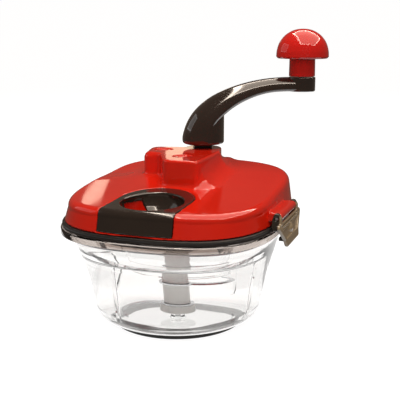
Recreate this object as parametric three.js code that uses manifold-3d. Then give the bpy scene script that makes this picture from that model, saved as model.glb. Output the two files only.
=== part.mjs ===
// Hand-cranked vegetable chopper: clear bowl with a rounded-square mouth, red
// domed lid with a gear housing, black crank handle with a red mushroom knob,
// a side clip, and a blade spindle driven through a gear train in the lid.
// Millimetres, +Z up. The origin is on the spindle axis, at the level the foot
// ring stands on. -Y is the side with the filling funnel, the crank is at +Y.

import * as THREE from "three";
import { mergeVertices } from "three/addons/utils/BufferGeometryUtils.js";
import Module from "manifold-3d";

// ---------------------------------------------------------------- dimensions
const GAP = 0.35;              // clearance between neighbouring pieces

// bowl
const FOOT_R = 57.4;           // foot ring, outside
const FOOT_RI = 52.0;
const FOOT_H = 3.4;
const BOWL_Z0 = 3.75;          // underside of the bowl's floor
const TUB_R = 75.0;            // inside radius of the round tub
const LEDGE_Z = 67.5;          // ledge where the mouth turns rounded-square
const RIM_W = 96.0;            // half width of the rim flange, across the flats
const RIM_Z0 = 87.0;
const RIM_Z1 = 92.8;
const SQ = 1;                  // full squareness of the plan outline
const FRONT_SQ = 0.7, REAR_SQ = 2.5, FRONT_REACH = 0.025;
const LID_SQ = [0.62, 3.3];   // the lid's own front and rear squareness

// lid
const LID_Z0 = 97.8;           // lower edge of the red skirt
const LID_W = 93.2;
const WALL = 2.4;
const TOP_Z = 123.9;           // crown height on the spindle axis
const TOP_SLOPE = 0.0886;      // the crown rises towards the crank
const HOUSING_TOP = 146.8;     // flat top of the gear housing

// gear train (module 2)
const MOD = 2.0;
const CRANK_Y = 70.4;          // crank axis is at (0, CRANK_Y)
const N_CRANK = 15, N_IDLER_SMALL = 25, N_IDLER_BIG = 40, N_PINION = 15;
const D1 = MOD * (N_CRANK + N_IDLER_SMALL) / 2;   // crank to idler
const D2 = MOD * (N_IDLER_BIG + N_PINION) / 2;    // idler to spindle
const IDLER_Y = (D2 * D2 - D1 * D1 + CRANK_Y * CRANK_Y) / (2 * CRANK_Y);
const IDLER_X = -Math.sqrt(D2 * D2 - IDLER_Y * IDLER_Y);
const GEAR_B0 = 100.6, GEAR_B1 = 106.6;           // lower gear level
const GEAR_A0 = 108.2, GEAR_A1 = 114.2;           // upper gear level

// crank
const CRANK_TURN = 21 * Math.PI / 180;            // where the arm points at rest
const CRANK_THROW = 94.4;
const HUB_R = 20.2;
const HUB_Z0 = 150.6;
const ARM_TOP = 214.2;
const KNOB_R = 24.9;

// filling funnel
const FUN_W = 32.8;            // half width of the black insert
const FUN_X = -0.8, FUN_Y = -48.0;   // centre of its round end
const FUN_LIP = 1.3;           // red strip left under the insert's front
const CUP_X = -0.4, CUP_Y = -57.5;   // centre of the funnel cup
const CUP_R = 26.6;
const DRAIN_X = -19.5, DRAIN_Y = -47.8, DRAIN_R = 10.6, DRAIN_TO = 25.2;
const DRIP_X = -22.0, DRIP_Y = -53.8;

// clip
const PIN_X = 99.0, PIN_Z = 106.3, PIN_R = 1.5;
const TAB_HALF = 26.5;

// ------------------------------------------------------------------- helpers
const wasm = await Module();
wasm.setup();

function solid(geometry) {
  let g = geometry.index ? geometry.toNonIndexed() : geometry.clone();
  for (const k of Object.keys(g.attributes)) if (k !== "position") g.deleteAttribute(k);
  g = mergeVertices(g, 1e-4);
  const p = g.attributes.position.array, ix = g.index.array, tri = [];
  let vol = 0;
  for (let i = 0; i < ix.length; i += 3) {
    const a = ix[i], b = ix[i + 1], c = ix[i + 2];
    if (a === b || b === c || a === c) continue;
    tri.push(a, b, c);
    const A = [p[3 * a], p[3 * a + 1], p[3 * a + 2]];
    const B = [p[3 * b], p[3 * b + 1], p[3 * b + 2]];
    const C = [p[3 * c], p[3 * c + 1], p[3 * c + 2]];
    vol += A[0] * (B[1] * C[2] - B[2] * C[1]) - A[1] * (B[0] * C[2] - B[2] * C[0]) + A[2] * (B[0] * C[1] - B[1] * C[0]);
  }
  if (vol < 0) for (let i = 0; i < tri.length; i += 3) [tri[i + 1], tri[i + 2]] = [tri[i + 2], tri[i + 1]];
  return new wasm.Manifold(new wasm.Mesh({
    numProp: 3, vertProperties: new Float32Array(p), triVerts: new Uint32Array(tri),
  }));
}

function toGeometry(man) {
  const m = man.getMesh();
  const g = new THREE.BufferGeometry();
  const pos = new Float32Array(m.numVert * 3);
  for (let i = 0; i < m.numVert; i++)
    for (let k = 0; k < 3; k++) pos[3 * i + k] = m.vertProperties[i * m.numProp + k];
  g.setAttribute("position", new THREE.BufferAttribute(pos, 3));
  g.setIndex(new THREE.BufferAttribute(new Uint32Array(m.triVerts), 1));
  return g;
}

// Plan outline of the mouth and the lid: a circle for m = 0, growing into a
// rounded square for m = 1, squarer at the crank's side than at the funnel's.
function outline(t, m, sq = [FRONT_SQ, REAR_SQ]) {
  const c = Math.cos(t), s = Math.sin(t), n = 2 + m * (s < 0 ? sq[0] : sq[1]);
  const f = 1 / Math.pow(Math.pow(Math.abs(c), n) + Math.pow(Math.abs(s), n), 1 / n);
  return [f * c, f * s * (s < 0 ? 1 + FRONT_REACH * m : 1)];
}

// A lathe about +Z. Each profile entry is [radius, z, m, change]: m is the
// outline's squareness, z may be a function of x and y, and change(t, w) may
// alter the radius at the angle t.
function turned(profile, segments = 48, closed = false, sq = undefined) {
  const pts = profile.map((q) => new THREE.Vector2(q[0], 0));
  if (closed) pts.push(pts[0].clone());
  const prof = closed ? [...profile, profile[0]] : profile;
  const g = new THREE.LatheGeometry(pts, segments);
  const pos = g.attributes.position, n = pts.length;
  for (let i = 0; i <= segments; i++) {
    const t = 2 * Math.PI * (i % segments) / segments;
    for (let j = 0; j < n; j++) {
      const q = prof[j], w = q[3] ? q[3](t, q[0]) : q[0];
      const [fx, fy] = outline(t, q[2] || 0, sq);
      const x = w * fx, y = w * fy;
      pos.setXYZ(i * n + j, x, y, typeof q[1] === "function" ? q[1](x, y) : q[1]);
    }
  }
  return solid(g);
}

function prism(points, z0, z1, holes = []) {
  const shape = new THREE.Shape(points.map((p) => new THREE.Vector2(p[0], p[1])));
  for (const h of holes) shape.holes.push(new THREE.Path(h.map((p) => new THREE.Vector2(p[0], p[1]))));
  const g = new THREE.ExtrudeGeometry(shape, { depth: z1 - z0, bevelEnabled: false, curveSegments: 1, steps: 1 });
  g.translate(0, 0, z0);
  return solid(g);
}

// prism with rounded upper and lower edges; the plan outline stays as given
function roundedPrism(points, z0, z1, r, segs = 3) {
  const shape = new THREE.Shape(points.map((p) => new THREE.Vector2(p[0], p[1])));
  const g = new THREE.ExtrudeGeometry(shape, {
    depth: z1 - z0 - 2 * r, bevelEnabled: true, bevelThickness: r, bevelSize: r, bevelOffset: -r,
    bevelSegments: segs, curveSegments: 1, steps: 1,
  });
  g.translate(0, 0, z0 + r);
  return solid(g);
}

// polygon with each corner [x, y, radius] rounded
function rounded(corners, step = 22) {
  const out = [], n = corners.length;
  for (let i = 0; i < n; i++) {
    const [px, py] = corners[(i + n - 1) % n], [x, y, r] = corners[i], [qx, qy] = corners[(i + 1) % n];
    if (!r) { out.push([x, y]); continue; }
    const a = new THREE.Vector2(px - x, py - y).normalize(), b = new THREE.Vector2(qx - x, qy - y).normalize();
    const ang = Math.acos(THREE.MathUtils.clamp(a.dot(b), -1, 1));
    const d = r / Math.tan(ang / 2);
    const c = a.clone().add(b).normalize().multiplyScalar(r / Math.sin(ang / 2));
    const s = new THREE.Vector2(a.x * d - c.x, a.y * d - c.y), e = new THREE.Vector2(b.x * d - c.x, b.y * d - c.y);
    let t0 = Math.atan2(s.y, s.x), t1 = Math.atan2(e.y, e.x);
    let dt = t1 - t0;
    while (dt > Math.PI) dt -= 2 * Math.PI;
    while (dt < -Math.PI) dt += 2 * Math.PI;
    const k = Math.max(1, Math.round(Math.abs(dt) * 180 / Math.PI / step));
    for (let j = 0; j <= k; j++) out.push([x + c.x + r * Math.cos(t0 + dt * j / k), y + c.y + r * Math.sin(t0 + dt * j / k)]);
  }
  return out;
}

const circle = (cx, cy, r, n = 24, t0 = 0) =>
  Array.from({ length: n }, (_, i) => [cx + r * Math.cos(t0 + 2 * Math.PI * i / n), cy + r * Math.sin(t0 + 2 * Math.PI * i / n)]);
const disc = (cx, cy, r, z0, z1, n = 24) => prism(circle(cx, cy, r, n), z0, z1);
const box = (x0, x1, y0, y1, z0, z1) => {
  const g = new THREE.BoxGeometry(x1 - x0, y1 - y0, z1 - z0);
  g.translate((x0 + x1) / 2, (y0 + y1) / 2, (z0 + z1) / 2);
  return solid(g);
};
// rod or tube lying along Y
const rodY = (x, z, r, y0, y1, n = 16) => {
  const g = new THREE.CylinderGeometry(r, r, y1 - y0, n);
  g.translate(x, (y0 + y1) / 2, z);
  return solid(g);
};

const group = new THREE.Group();
const mats = {
  clear: { color: 0xe9eef0, roughness: 0.08, metalness: 0, transparent: true, opacity: 0.3 },
  red: { color: 0xd3200f, roughness: 0.18, metalness: 0 },
  black: { color: 0x1d1815, roughness: 0.25, metalness: 0 },
  rubber: { color: 0x1b1a19, roughness: 0.75, metalness: 0 },
  white: { color: 0xf1efe9, roughness: 0.4, metalness: 0 },
  steel: { color: 0xb9bcc0, roughness: 0.25, metalness: 1 },
  clip: { color: 0x3a3128, roughness: 0.25, metalness: 0.1 },
};
function add(name, man, material, place) {
  const mesh = new THREE.Mesh(toGeometry(man), new THREE.MeshStandardMaterial(mats[material]));
  mesh.name = name;
  if (place) { mesh.position.set(...place.at); mesh.rotation.z = place.turn || 0; }
  group.add(mesh);
}

// ---------------------------------------------------------------------- bowl
const BOWL_SEG = 48;
const RIBS = [-15, -2, 9, 22];         // inner ribs, in steps of 360/48 degrees
const rib = (t, w) => {
  const k = Math.round(t / (2 * Math.PI) * BOWL_SEG);
  return RIBS.some((q) => ((q - k) % BOWL_SEG + BOWL_SEG) % BOWL_SEG === 0) ? w - 1.6 : w;
};
add("bowl", turned([
  [0, 0], [6.8, 0], [6.8, BOWL_Z0], [FOOT_R, BOWL_Z0], [65.5, BOWL_Z0 + 0.5], [70.6, 6.8], [74.4, 12.6], [77.2, 27.0, 0.02],
  [80.0, 44.0, 0.12], [84.3, 62.0, 0.3], [87.2, 76.0, 0.5], [90.5, 84.0, 0.85], [92.6, RIM_Z0, SQ],
  [RIM_W - 0.4, RIM_Z0, SQ], [RIM_W, RIM_Z0 + 0.6, SQ], [RIM_W, RIM_Z1 - 0.7, SQ], [RIM_W - 0.8, RIM_Z1, SQ], [88.2, RIM_Z1, SQ],
  [85.0, 80.0, 0.65], [80.4, LEDGE_Z, 0.45], [TUB_R, LEDGE_Z - 0.4],
  [TUB_R - 0.2, 63.2], [TUB_R - 0.3, 62.4, 0, rib], [TUB_R - 1.6, 20.0, 0, rib], [TUB_R - 1.8, 17.6],
  [TUB_R - 3.8, 11.2], [68.0, 7.6], [62.0, 6.8], [6.4, 6.8], [6.1, 12.0], [2.85, 12.0], [2.85, 7.0], [0, 7.0],
], BOWL_SEG), "clear");
add("foot_ring", turned([
  [FOOT_RI, 0], [FOOT_R - 0.8, 0], [FOOT_R, 0.8], [FOOT_R, FOOT_H], [FOOT_RI, FOOT_H],
], 48, true), "rubber");
add("pivot_pin", turned([[0, 7.4], [2.5, 7.4], [2.5, 33.0], [1.6, 34.2], [0, 34.2]], 16), "steel");

// ----------------------------------------------------------------------- lid
const ease = (v) => { const t = Math.min(1, Math.max(0, v)); return t * t * (3 - 2 * t); };
const crown = (x, y) => TOP_Z + TOP_SLOPE * y + (y < 0 ? 0.0003 : 0.00043) * y * y - 3.82 * (x / 88) ** 2 - 0.43 * ((x * x + y * y) / 7744) ** 2
  - 2.4 * ease((-x - 35) / 35) * ease((y - 5) / 45);
const below = (d) => (x, y) => crown(x, y) - d;
const LID_SEG = 48;
const lidOuter = turned([
  [0, LID_Z0], [LID_W - 0.5, LID_Z0, SQ], [LID_W, LID_Z0 + 0.5, SQ], [LID_W - 2.3, below(9.5), SQ],
  [LID_W - 3.2, below(5.6), 0.985], [LID_W - 4.3, below(3.2), 0.97], [LID_W - 5.8, below(1.4), 0.95], [LID_W - 8, below(0.35), 0.92],
  [LID_W - 12, below(0), 0.88], [66, below(0), 0.7], [44, below(0), 0.4], [22, below(0)], [0, below(0)],
], LID_SEG, false, LID_SQ);
const innerWall = (d) => [
  [0, LID_Z0 - 3], [LID_W - WALL, LID_Z0 - 3, SQ], [LID_W - WALL - 0.1, 101, SQ], [LID_W - WALL - 2.4, below(9.8), SQ],
  [LID_W - WALL - 3.8, below(6.0), 0.985], [LID_W - WALL - 6.8, below(3.3 + d), 0.95], [LID_W - 14, below(WALL + d), 0.88],
  [66, below(WALL + d), 0.7], [44, below(WALL + d), 0.4], [22, below(WALL + d)], [0, below(WALL + d)],
];
const lidInner = turned(innerWall(0), LID_SEG, false, LID_SQ);

// plan of the gear housing: front lobe over the spindle, left lobe over the
// idler, long straight right wall, round back behind the crank
const housingPlan = (d) => rounded([
  [-8.5 + d * 0.5, -12.5 + d, 8.5 - d * 0.5], [23.4 - d, -12.5 + d, 3.6 - d * 0.8], [23.4 - d, 52, 12], [14 - d * 0.9, 86.5 - d, 13 - d],
  [-16 + d, 86.5 - d, 12 - d], [-18 + d, 67 - d * 0.82, 4 + d * 0.6], [-48 + d * 1.09, 61 - d * 0.8, 9 - d], [-44 + d * 0.9, 23 + d, 9 - d], [-26 + d * 0.7, 23 + d, 7],
]);
const housing = roundedPrism(housingPlan(0), 100, HOUSING_TOP, 2.4, 3).subtract(box(-200, 200, -200, 200, 0, 112));
// hollow-curved flare from the crown up to the housing's right wall
const FLARE = 18;
const flareLevel = (k) => {
  const a = Math.PI / 2 * k / 5, e = FLARE * (1 - Math.cos(a)) + 0.05, z = 126.2 + FLARE * (1 - Math.sin(a)), pts = [];
  for (const [x, y] of [[23.0, 0], [23.0, 52], [15, 80]])
    for (let i = 0; i < 20; i++) pts.push([x + e * Math.cos(Math.PI * i / 10), y + e * Math.sin(Math.PI * i / 10), z + TOP_SLOPE * (y - 30) * (k / 5)]);
  for (const y of [0, 80]) pts.push([10, y, z + TOP_SLOPE * (y - 30) * (k / 5)]);
  return pts;
};
const flare = wasm.Manifold.union([0, 1, 2, 3, 4].map((k) => wasm.Manifold.hull([...flareLevel(k), ...flareLevel(k + 1)])))
  .add(wasm.Manifold.hull([...flareLevel(5), ...flareLevel(5).map(([x, y, z]) => [x, y, z - 3])]))
  .intersect(turned([[0, 110], [LID_W - 9, 110, 0.93], [LID_W - 9, 150, 0.93], [0, 150]], LID_SEG, false, LID_SQ));
const cavity = prism(housingPlan(WALL), 90, HOUSING_TOP - WALL);

const POCKETS = [[IDLER_X, IDLER_Y], [0, 12.4]];
const POCKET_R = 8.2, POCKET_D = 2.2;
const U = (g, z0, z1) => {
  const w = FUN_W - g, pts = [[FUN_X - w - 4.0, -140], [FUN_X + w - 2.45, -140]];
  for (let i = 0; i <= 14; i++) pts.push([FUN_X + w * Math.cos(Math.PI * i / 14), FUN_Y + w * Math.sin(Math.PI * i / 14)]);
  return prism(pts, z0, z1);
};
const tab = () => {
  // clip tab on the side wall, its outer edge round about the clip's pin
  const pts = [[LID_W - 3.4, PIN_Z - 3.8], [PIN_X, PIN_Z - 3.8]];
  for (let i = 0; i <= 6; i++) pts.push([PIN_X + 3.8 * Math.sin(Math.PI * i / 6), PIN_Z - 3.8 * Math.cos(Math.PI * i / 6)]);
  pts.push([LID_W - 3.4, PIN_Z + 3.8]);
  const shape = new THREE.Shape(pts.map((p) => new THREE.Vector2(p[0], p[1])));
  const g = new THREE.ExtrudeGeometry(shape, { depth: 2 * TAB_HALF, bevelEnabled: false });
  g.rotateX(Math.PI / 2);
  g.translate(0, TAB_HALF, 0);
  return solid(g).subtract(rodY(PIN_X, PIN_Z, PIN_R + 0.3, -40, 40, 12));
};
const SCREWS = [[64, 60], [64, -58], [-64, -58], [-78, 10]];
let lid = lidOuter.add(housing).add(flare).subtract(lidInner).subtract(cavity);
for (const [x, y] of POCKETS) lid = lid.add(disc(x, y, POCKET_R + 2.4, HOUSING_TOP - POCKET_D - 2.4, HOUSING_TOP - 0.4));
lid = lid.add(disc(0, CRANK_Y, 10.6, 120.5, HOUSING_TOP - 0.4, 28));
lid = lid.add(disc(IDLER_X, IDLER_Y, 5.6, 116.5, HOUSING_TOP - 3, 16));
lid = lid.add(disc(0, 0, 7.2, 109.5, HOUSING_TOP - 1.5, 20).subtract(box(-9, 9, 4.5, 9, 100, 150)).add(disc(0, 0, 7.2, 109.5, 125, 20)));
for (const [x, y] of SCREWS) lid = lid.add(disc(x, y, 4.2, 100.6, crown(x, y) - 1.2, 14));
lid = lid.intersect(lidOuter.add(housing).add(flare));
for (const [x, y] of POCKETS) lid = lid.subtract(disc(x, y, POCKET_R, HOUSING_TOP - POCKET_D, 160));
lid = lid.subtract(disc(0, CRANK_Y, 7.9, 100, 160, 28));
lid = lid.subtract(disc(IDLER_X, IDLER_Y, 2.85, 90, 141, 14));
lid = lid.subtract(disc(0, 0, 4.35, 90, 121, 18));
lid = lid.subtract(disc(IDLER_X, IDLER_Y, MOD * N_IDLER_BIG / 2 + 2.4, GEAR_B0 - 0.6, GEAR_B1 + 0.6, 48));
for (const [x, y] of SCREWS) lid = lid.subtract(disc(x, y, 1.75, 90, 112, 10));
lid = lid.subtract(U(0, LID_Z0 + FUN_LIP, 140));
lid = lid.add(tab());
add("lid_shell", lid, "red");

add("gasket", turned([
  [83.0, 86.8, 0.72], [84.7, 86.8, 0.72], [87.3, RIM_Z1 - 0.2, SQ], [87.7, RIM_Z1 + GAP, SQ], [94.4, RIM_Z1 + GAP, SQ],
  [94.8, RIM_Z1 + GAP + 0.6, SQ], [94.3, LID_Z0 - GAP - 0.4, SQ], [93.7, LID_Z0 - GAP, SQ], [85.2, LID_Z0 - GAP, SQ], [85.2, RIM_Z1 - 0.2, SQ],
], 48, true), "rubber");

// ------------------------------------------------------------ funnel insert
let insert = lidOuter.intersect(U(GAP, LID_Z0 + FUN_LIP + GAP, 140)).subtract(turned(innerWall(0.3), LID_SEG, false, LID_SQ));
const cup = (r, grow) => {
  const pr = [[0, 103.2 - grow], [0.42, 103.2 - grow], [0.66, 104.6 - grow], [0.84, 107.6 - grow], [0.95, 112.0 - grow * 0.5], [1.0, 117.5], [1.0, 135]];
  return pr.map(([k, z]) => [k * (r + grow), z]);
};
const at = (man, x, y) => man.translate(x, y, 0);
insert = insert.add(at(turned([...cup(CUP_R, 2.0), [0, 135]], 32), CUP_X, CUP_Y).intersect(lidOuter).intersect(U(GAP, LID_Z0 + FUN_LIP + GAP, 140)));
insert = insert.subtract(at(turned([...cup(CUP_R, 0), [0, 135]], 32), CUP_X, CUP_Y));
insert = insert.subtract(disc(DRAIN_X, DRAIN_Y, DRAIN_R, 90, 117, 24).intersect(disc(CUP_X, CUP_Y, DRAIN_TO, 90, 117, 32)));
add("funnel_insert", insert, "black");

// ------------------------------------------------- gear cover and its pieces
const COVER_Z0 = LID_Z0 + 0.0, COVER_Z1 = COVER_Z0 + 2.0;
const COLLAR_R = 47.4;
let cover = turned([
  [0, COVER_Z0], [90.0, COVER_Z0, SQ], [90.0, COVER_Z1, SQ], [0, COVER_Z1],
], LID_SEG, false, LID_SQ);
cover = cover.add(turned([[COLLAR_R + 0.4, COVER_Z0 - 5.0], [COLLAR_R + 2.6, COVER_Z0 - 5.0], [COLLAR_R + 2.6, COVER_Z0 + 0.5], [COLLAR_R + 0.4, COVER_Z0 + 0.5]], 40, true));
cover = cover.add(disc(0, 0, 14.4, COVER_Z0 - 4.2, COVER_Z1, 28));
cover = cover.add(disc(IDLER_X, IDLER_Y, 5.2, COVER_Z0 - 2.6, COVER_Z1, 16));
// chute round the drain, its upper edge cut to the underside of the cup
cover = cover.add(disc(DRAIN_X, DRAIN_Y, 12.6, COVER_Z1 - 0.5, 113, 32).subtract(disc(DRAIN_X, DRAIN_Y, 11.0, 90, 120, 32))
  .subtract(at(turned([...cup(CUP_R, 2.0 + GAP), [0, 135]], 32), CUP_X, CUP_Y)));
cover = cover.subtract(disc(0, 0, 12.0, 80, 120, 28));
cover = cover.subtract(disc(IDLER_X, IDLER_Y, 2.85, COVER_Z0 - 1.4, 120, 14));
cover = cover.subtract(disc(DRIP_X, DRIP_Y, 3.0, 80, 120, 12));
for (const [x, y] of SCREWS) cover = cover.subtract(disc(x, y, 1.9, 80, 120, 10));
add("gear_cover", cover, "red");
add("splash_collar", turned([
  [COLLAR_R - 4.2, 56.0], [COLLAR_R - 2.4, 56.0], [COLLAR_R, COVER_Z0 - GAP], [COLLAR_R - 2.0, COVER_Z0 - GAP],
], 40, true), "clear");
add("spindle_bush", turned([
  [9.3, COVER_Z0 - 4.6], [13.6, COVER_Z0 - 4.6], [13.6, COVER_Z0 - 4.2 - GAP + 0.05], [11.65, COVER_Z0 - 4.2 - GAP + 0.05], [11.65, COVER_Z1 + 0.3], [9.3, COVER_Z1 + 0.3],
], 22, true), "white");
add("crank_bush", turned([
  [4.4, 118.8], [7.5, 118.8], [7.5, HOUSING_TOP + GAP], [8.7, HOUSING_TOP + GAP], [8.7, HUB_Z0 - GAP - 0.2], [4.4, HUB_Z0 - GAP - 0.2],
], 24, true), "black", { at: [0, CRANK_Y, 0] });
add("idler_axle", disc(IDLER_X, IDLER_Y, 2.5, COVER_Z0 - 1.0, 140.4, 14), "steel");
const plug = (x, y) => turned([
  [0, HOUSING_TOP - POCKET_D + GAP], [POCKET_R - 0.4, HOUSING_TOP - POCKET_D + GAP], [POCKET_R - 0.4, HOUSING_TOP - POCKET_D + 0.9], [POCKET_R - 0.9, HOUSING_TOP - POCKET_D + 1.2], [0, HOUSING_TOP - POCKET_D + 1.35],
], 28).translate(x, y, 0);
add("idler_cap", plug(...POCKETS[0]), "red");
add("housing_cap", plug(...POCKETS[1]), "red");
SCREWS.forEach(([x, y], i) => add("cover_screw_" + (i + 1), turned([
  [0, COVER_Z0 - 2.4], [2.8, COVER_Z0 - 2.4], [3.2, COVER_Z0 - 1.6], [3.2, COVER_Z0 - GAP], [1.4, COVER_Z0 - GAP], [1.4, 110], [0, 111.2],
], 10), "steel", { at: [x, y, 0] }));
add("clip_pin", rodY(PIN_X, PIN_Z, PIN_R, -31.2, 31.2, 12), "steel");

// ---------------------------------------------------------------- gear train
const inv = (a) => Math.tan(a) - a;
function gearPlan(teeth, phase, slack = 0.62, addendum = 0.88, dedendum = 1.22) {
  // each flank is drawn with three points on the large wheels, four on the small
  const r = MOD * teeth / 2, rb = r * Math.cos(20 * Math.PI / 180);
  const ra = r + addendum * MOD, rf = r - dedendum * MOD;
  const half = (Math.PI * MOD / 2 - slack) / (2 * r), i0 = inv(20 * Math.PI / 180);
  const psi = (q) => half + i0 - inv(Math.acos(Math.min(1, rb / Math.max(q, rb))));
  const radii = teeth > 20 ? [rf, r, ra] : [rf, Math.max(rb, rf + 0.6), r + 0.3, ra], out = [];
  for (let i = 0; i < teeth; i++) {
    const c = phase + 2 * Math.PI * i / teeth;
    for (const q of radii) out.push([q * Math.cos(c - psi(q) * (q === rf ? 1.06 : 1)), q * Math.sin(c - psi(q) * (q === rf ? 1.06 : 1))]);
    for (const q of [...radii].reverse()) out.push([q * Math.cos(c + psi(q) * (q === rf ? 1.06 : 1)), q * Math.sin(c + psi(q) * (q === rf ? 1.06 : 1))]);
  }
  return out;
}
const toIdler = Math.atan2(IDLER_Y - CRANK_Y, IDLER_X);
const toSpindle = Math.atan2(-IDLER_Y, -IDLER_X);
const crankGear = prism(gearPlan(N_CRANK, toIdler), GEAR_A0, GEAR_A1, [circle(0, 0, 4.3, 20)])
  .add(prism(circle(0, 0, 8, 24), GEAR_A1 - 0.2, 118.3, [circle(0, 0, 4.3, 20)]));
add("crank_gear", crankGear, "white", { at: [0, CRANK_Y, 0] });
let idler = prism(gearPlan(N_IDLER_SMALL, toIdler + Math.PI + Math.PI / N_IDLER_SMALL), GEAR_A0, GEAR_A1)
  .add(disc(0, 0, 12, GEAR_B1 - 0.2, GEAR_A0 + 0.2, 28))
  .add(prism(gearPlan(N_IDLER_BIG, toSpindle), GEAR_B0, GEAR_B1))
  .subtract(disc(0, 0, 2.85, 90, 130, 14));
add("idler_gear", idler, "white", { at: [IDLER_X, IDLER_Y, 0] });
const HEX_R = 5.6;
const pinion = prism(gearPlan(N_PINION, toSpindle + Math.PI + Math.PI / N_PINION), GEAR_B0, GEAR_B1)
  .add(disc(0, 0, 8.95, COVER_Z0 - 4.6, GEAR_B0 + 0.2, 24))
  .add(disc(0, 0, 4.0, GEAR_B1 - 0.2, 119.5, 18))
  .subtract(prism(circle(0, 0, HEX_R + 0.5, 6), 80, 105.2));
add("spindle_pinion", pinion, "white");

// --------------------------------------------------------------------- crank
const side = [
  [-17.8, HUB_Z0], [17.6, HUB_Z0], [19.4, HUB_Z0 + 0.8], [20.2, HUB_Z0 + 2.6], [20.2, 177.6], [21.2, 179.6], [24.4, 182.3], [28.6, 185.3], [34.0, 188.7],
  [41.1, 192.3], [50.2, 195.9], [58, 198.2], [66, 199.7], [77.6, 200.6], [104.4, 200.6], [106.4, 201.2], [107.3, 202.6], [107.3, 212.8], [106.6, 213.9],
  [83, ARM_TOP], [72, ARM_TOP - 0.5], [61, 212.8], [52, 211.4], [43.8, 209.6], [35, 207.2], [26.6, 204.5], [20.9, 202.3],
  [14.6, 199.4], [7.8, 195.8], [2.5, 192.3], [-2.2, 188.5], [-6.2, 184.7], [-9.5, 180.9], [-12.4, 177], [-14.6, 173.2],
  [-16.4, 169.3], [-18, 165.2], [-19.3, 160.4], [-20.3, 153.6], [-19.6, 151.6],
];
function sideSlab(pts, halfWidth) {
  const shape = new THREE.Shape(pts.map((p) => new THREE.Vector2(p[0], p[1])));
  const g = new THREE.ExtrudeGeometry(shape, {
    depth: 2 * halfWidth, bevelEnabled: false, curveSegments: 1,
  });
  g.rotateX(Math.PI / 2);
  g.translate(0, halfWidth, 0);
  return solid(g);
}
const armPlan = [];
for (let i = 0; i <= 16; i++) { const t = (52 + (308 - 52) * i / 16) * Math.PI / 180; armPlan.push([HUB_R * Math.cos(t), HUB_R * Math.sin(t)]); }
armPlan.push([20, -13.2], [30, -11.6], [44, -10.9], [60, -10.8], [78, -11.4]);
for (let i = 0; i <= 10; i++) { const t = (-108 + 216 * i / 10) * Math.PI / 180; armPlan.push([CRANK_THROW + 12.9 * Math.cos(t), 12.9 * Math.sin(t)]); }
armPlan.push([78, 11.4], [60, 10.8], [44, 10.9], [30, 11.6], [20, 13.2]);
let handle = sideSlab(side, 30).intersect(prism(armPlan, 140, 230));
handle = handle.subtract(disc(0, 0, 4.3, 140, 172, 20));
handle = handle.subtract(disc(CRANK_THROW, 0, 3.3, 203.5, 230, 14));
add("crank_handle", handle, "black", { at: [0, CRANK_Y, 0], turn: CRANK_TURN });
add("crank_shaft", turned([[0, GEAR_A0 - 0.6], [3.95, GEAR_A0 - 0.6], [3.95, 170.6], [3.0, 171.6], [0, 171.6]], 20), "steel", { at: [0, CRANK_Y, 0] });

// ---------------------------------------------------------------------- knob
const KX = CRANK_THROW * Math.cos(CRANK_TURN), KY = CRANK_Y + CRANK_THROW * Math.sin(CRANK_TURN);
add("knob_pin", turned([[0, 204.0], [2.95, 204.0], [2.95, 236.0], [4.6, 236.0], [4.6, 238.4], [0, 238.4]], 16), "steel", { at: [KX, KY, 0] });
add("knob_stem", turned([
  [3.3, ARM_TOP + 0.6], [12.0, ARM_TOP + 0.6], [12.4, ARM_TOP + 1.0], [12.2, 231.2], [3.3, 231.2],
], 24, true), "red", { at: [KX, KY, 0] });
add("knob_cap", turned([
  [3.4, 231.55], [23.6, 231.55], [KNOB_R, 233.0], [24.4, 239.0], [22.6, 245.2], [20.0, 249.6], [16.0, 253.8],
  [10.4, 257.2], [5.0, 258.8], [0, 259.2], [0, 240.0], [5.2, 240.0], [5.2, 235.4], [3.4, 235.4],
], 30, true), "red", { at: [KX, KY, 0] });

// ------------------------------------------------------------- blade spindle
add("blade_spindle", turned([
  [2.9, 13.0], [15.5, 13.0], [16.0, 13.6], [15.2, 20.0], [9.5, 20.0], [9.5, 63.0], [11.2, 63.0], [11.2, 90.2], [10.4, 92.4],
  [HEX_R - 1.2, 92.4], [HEX_R - 1.2, 96.0], [0, 96.0], [0, 36.5], [2.9, 36.5],
], 24, true).add(prism(circle(0, 0, HEX_R, 6), 92.0, 104.4)), "white");
function bladePlate(z, turn) {
  // ring on the spindle with one sickle-shaped blade
  const lead = [], trail = [];
  for (let i = 0; i <= 8; i++) {
    const s = i / 8, r = 12 + 58 * s, a = 0.95 * s * s;
    const w = (11.5 - 7.5 * s) * (s > 0.95 ? 0.35 : 1);
    lead.push([r * Math.cos(a) - w * 0.5 * Math.sin(-a), r * Math.sin(a) - w * 0.5 * Math.cos(a)]);
    trail.push([r * Math.cos(a) + w * 0.5 * Math.sin(-a), r * Math.sin(a) + w * 0.5 * Math.cos(a)]);
  }
  return prism([...lead, ...trail.reverse()], z, z + 1.2).add(disc(0, 0, 15, z, z + 1.2, 20))
    .subtract(disc(0, 0, 9.95, z - 1, z + 3, 20)).rotate(0, 0, turn);
}
add("lower_blade", bladePlate(20.35, 200), "steel");
add("upper_blade", bladePlate(44.3, 20), "steel");
add("blade_spacer", turned([[9.95, 21.9], [12.2, 21.9], [11.6, 24.0], [11.6, 42.0], [12.2, 43.95], [9.95, 43.95]], 24, true), "white");
add("blade_clamp", turned([[9.95, 45.85], [12.2, 45.85], [11.5, 48.0], [11.2, 62.6], [9.95, 62.6]], 24, true), "white");

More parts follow.
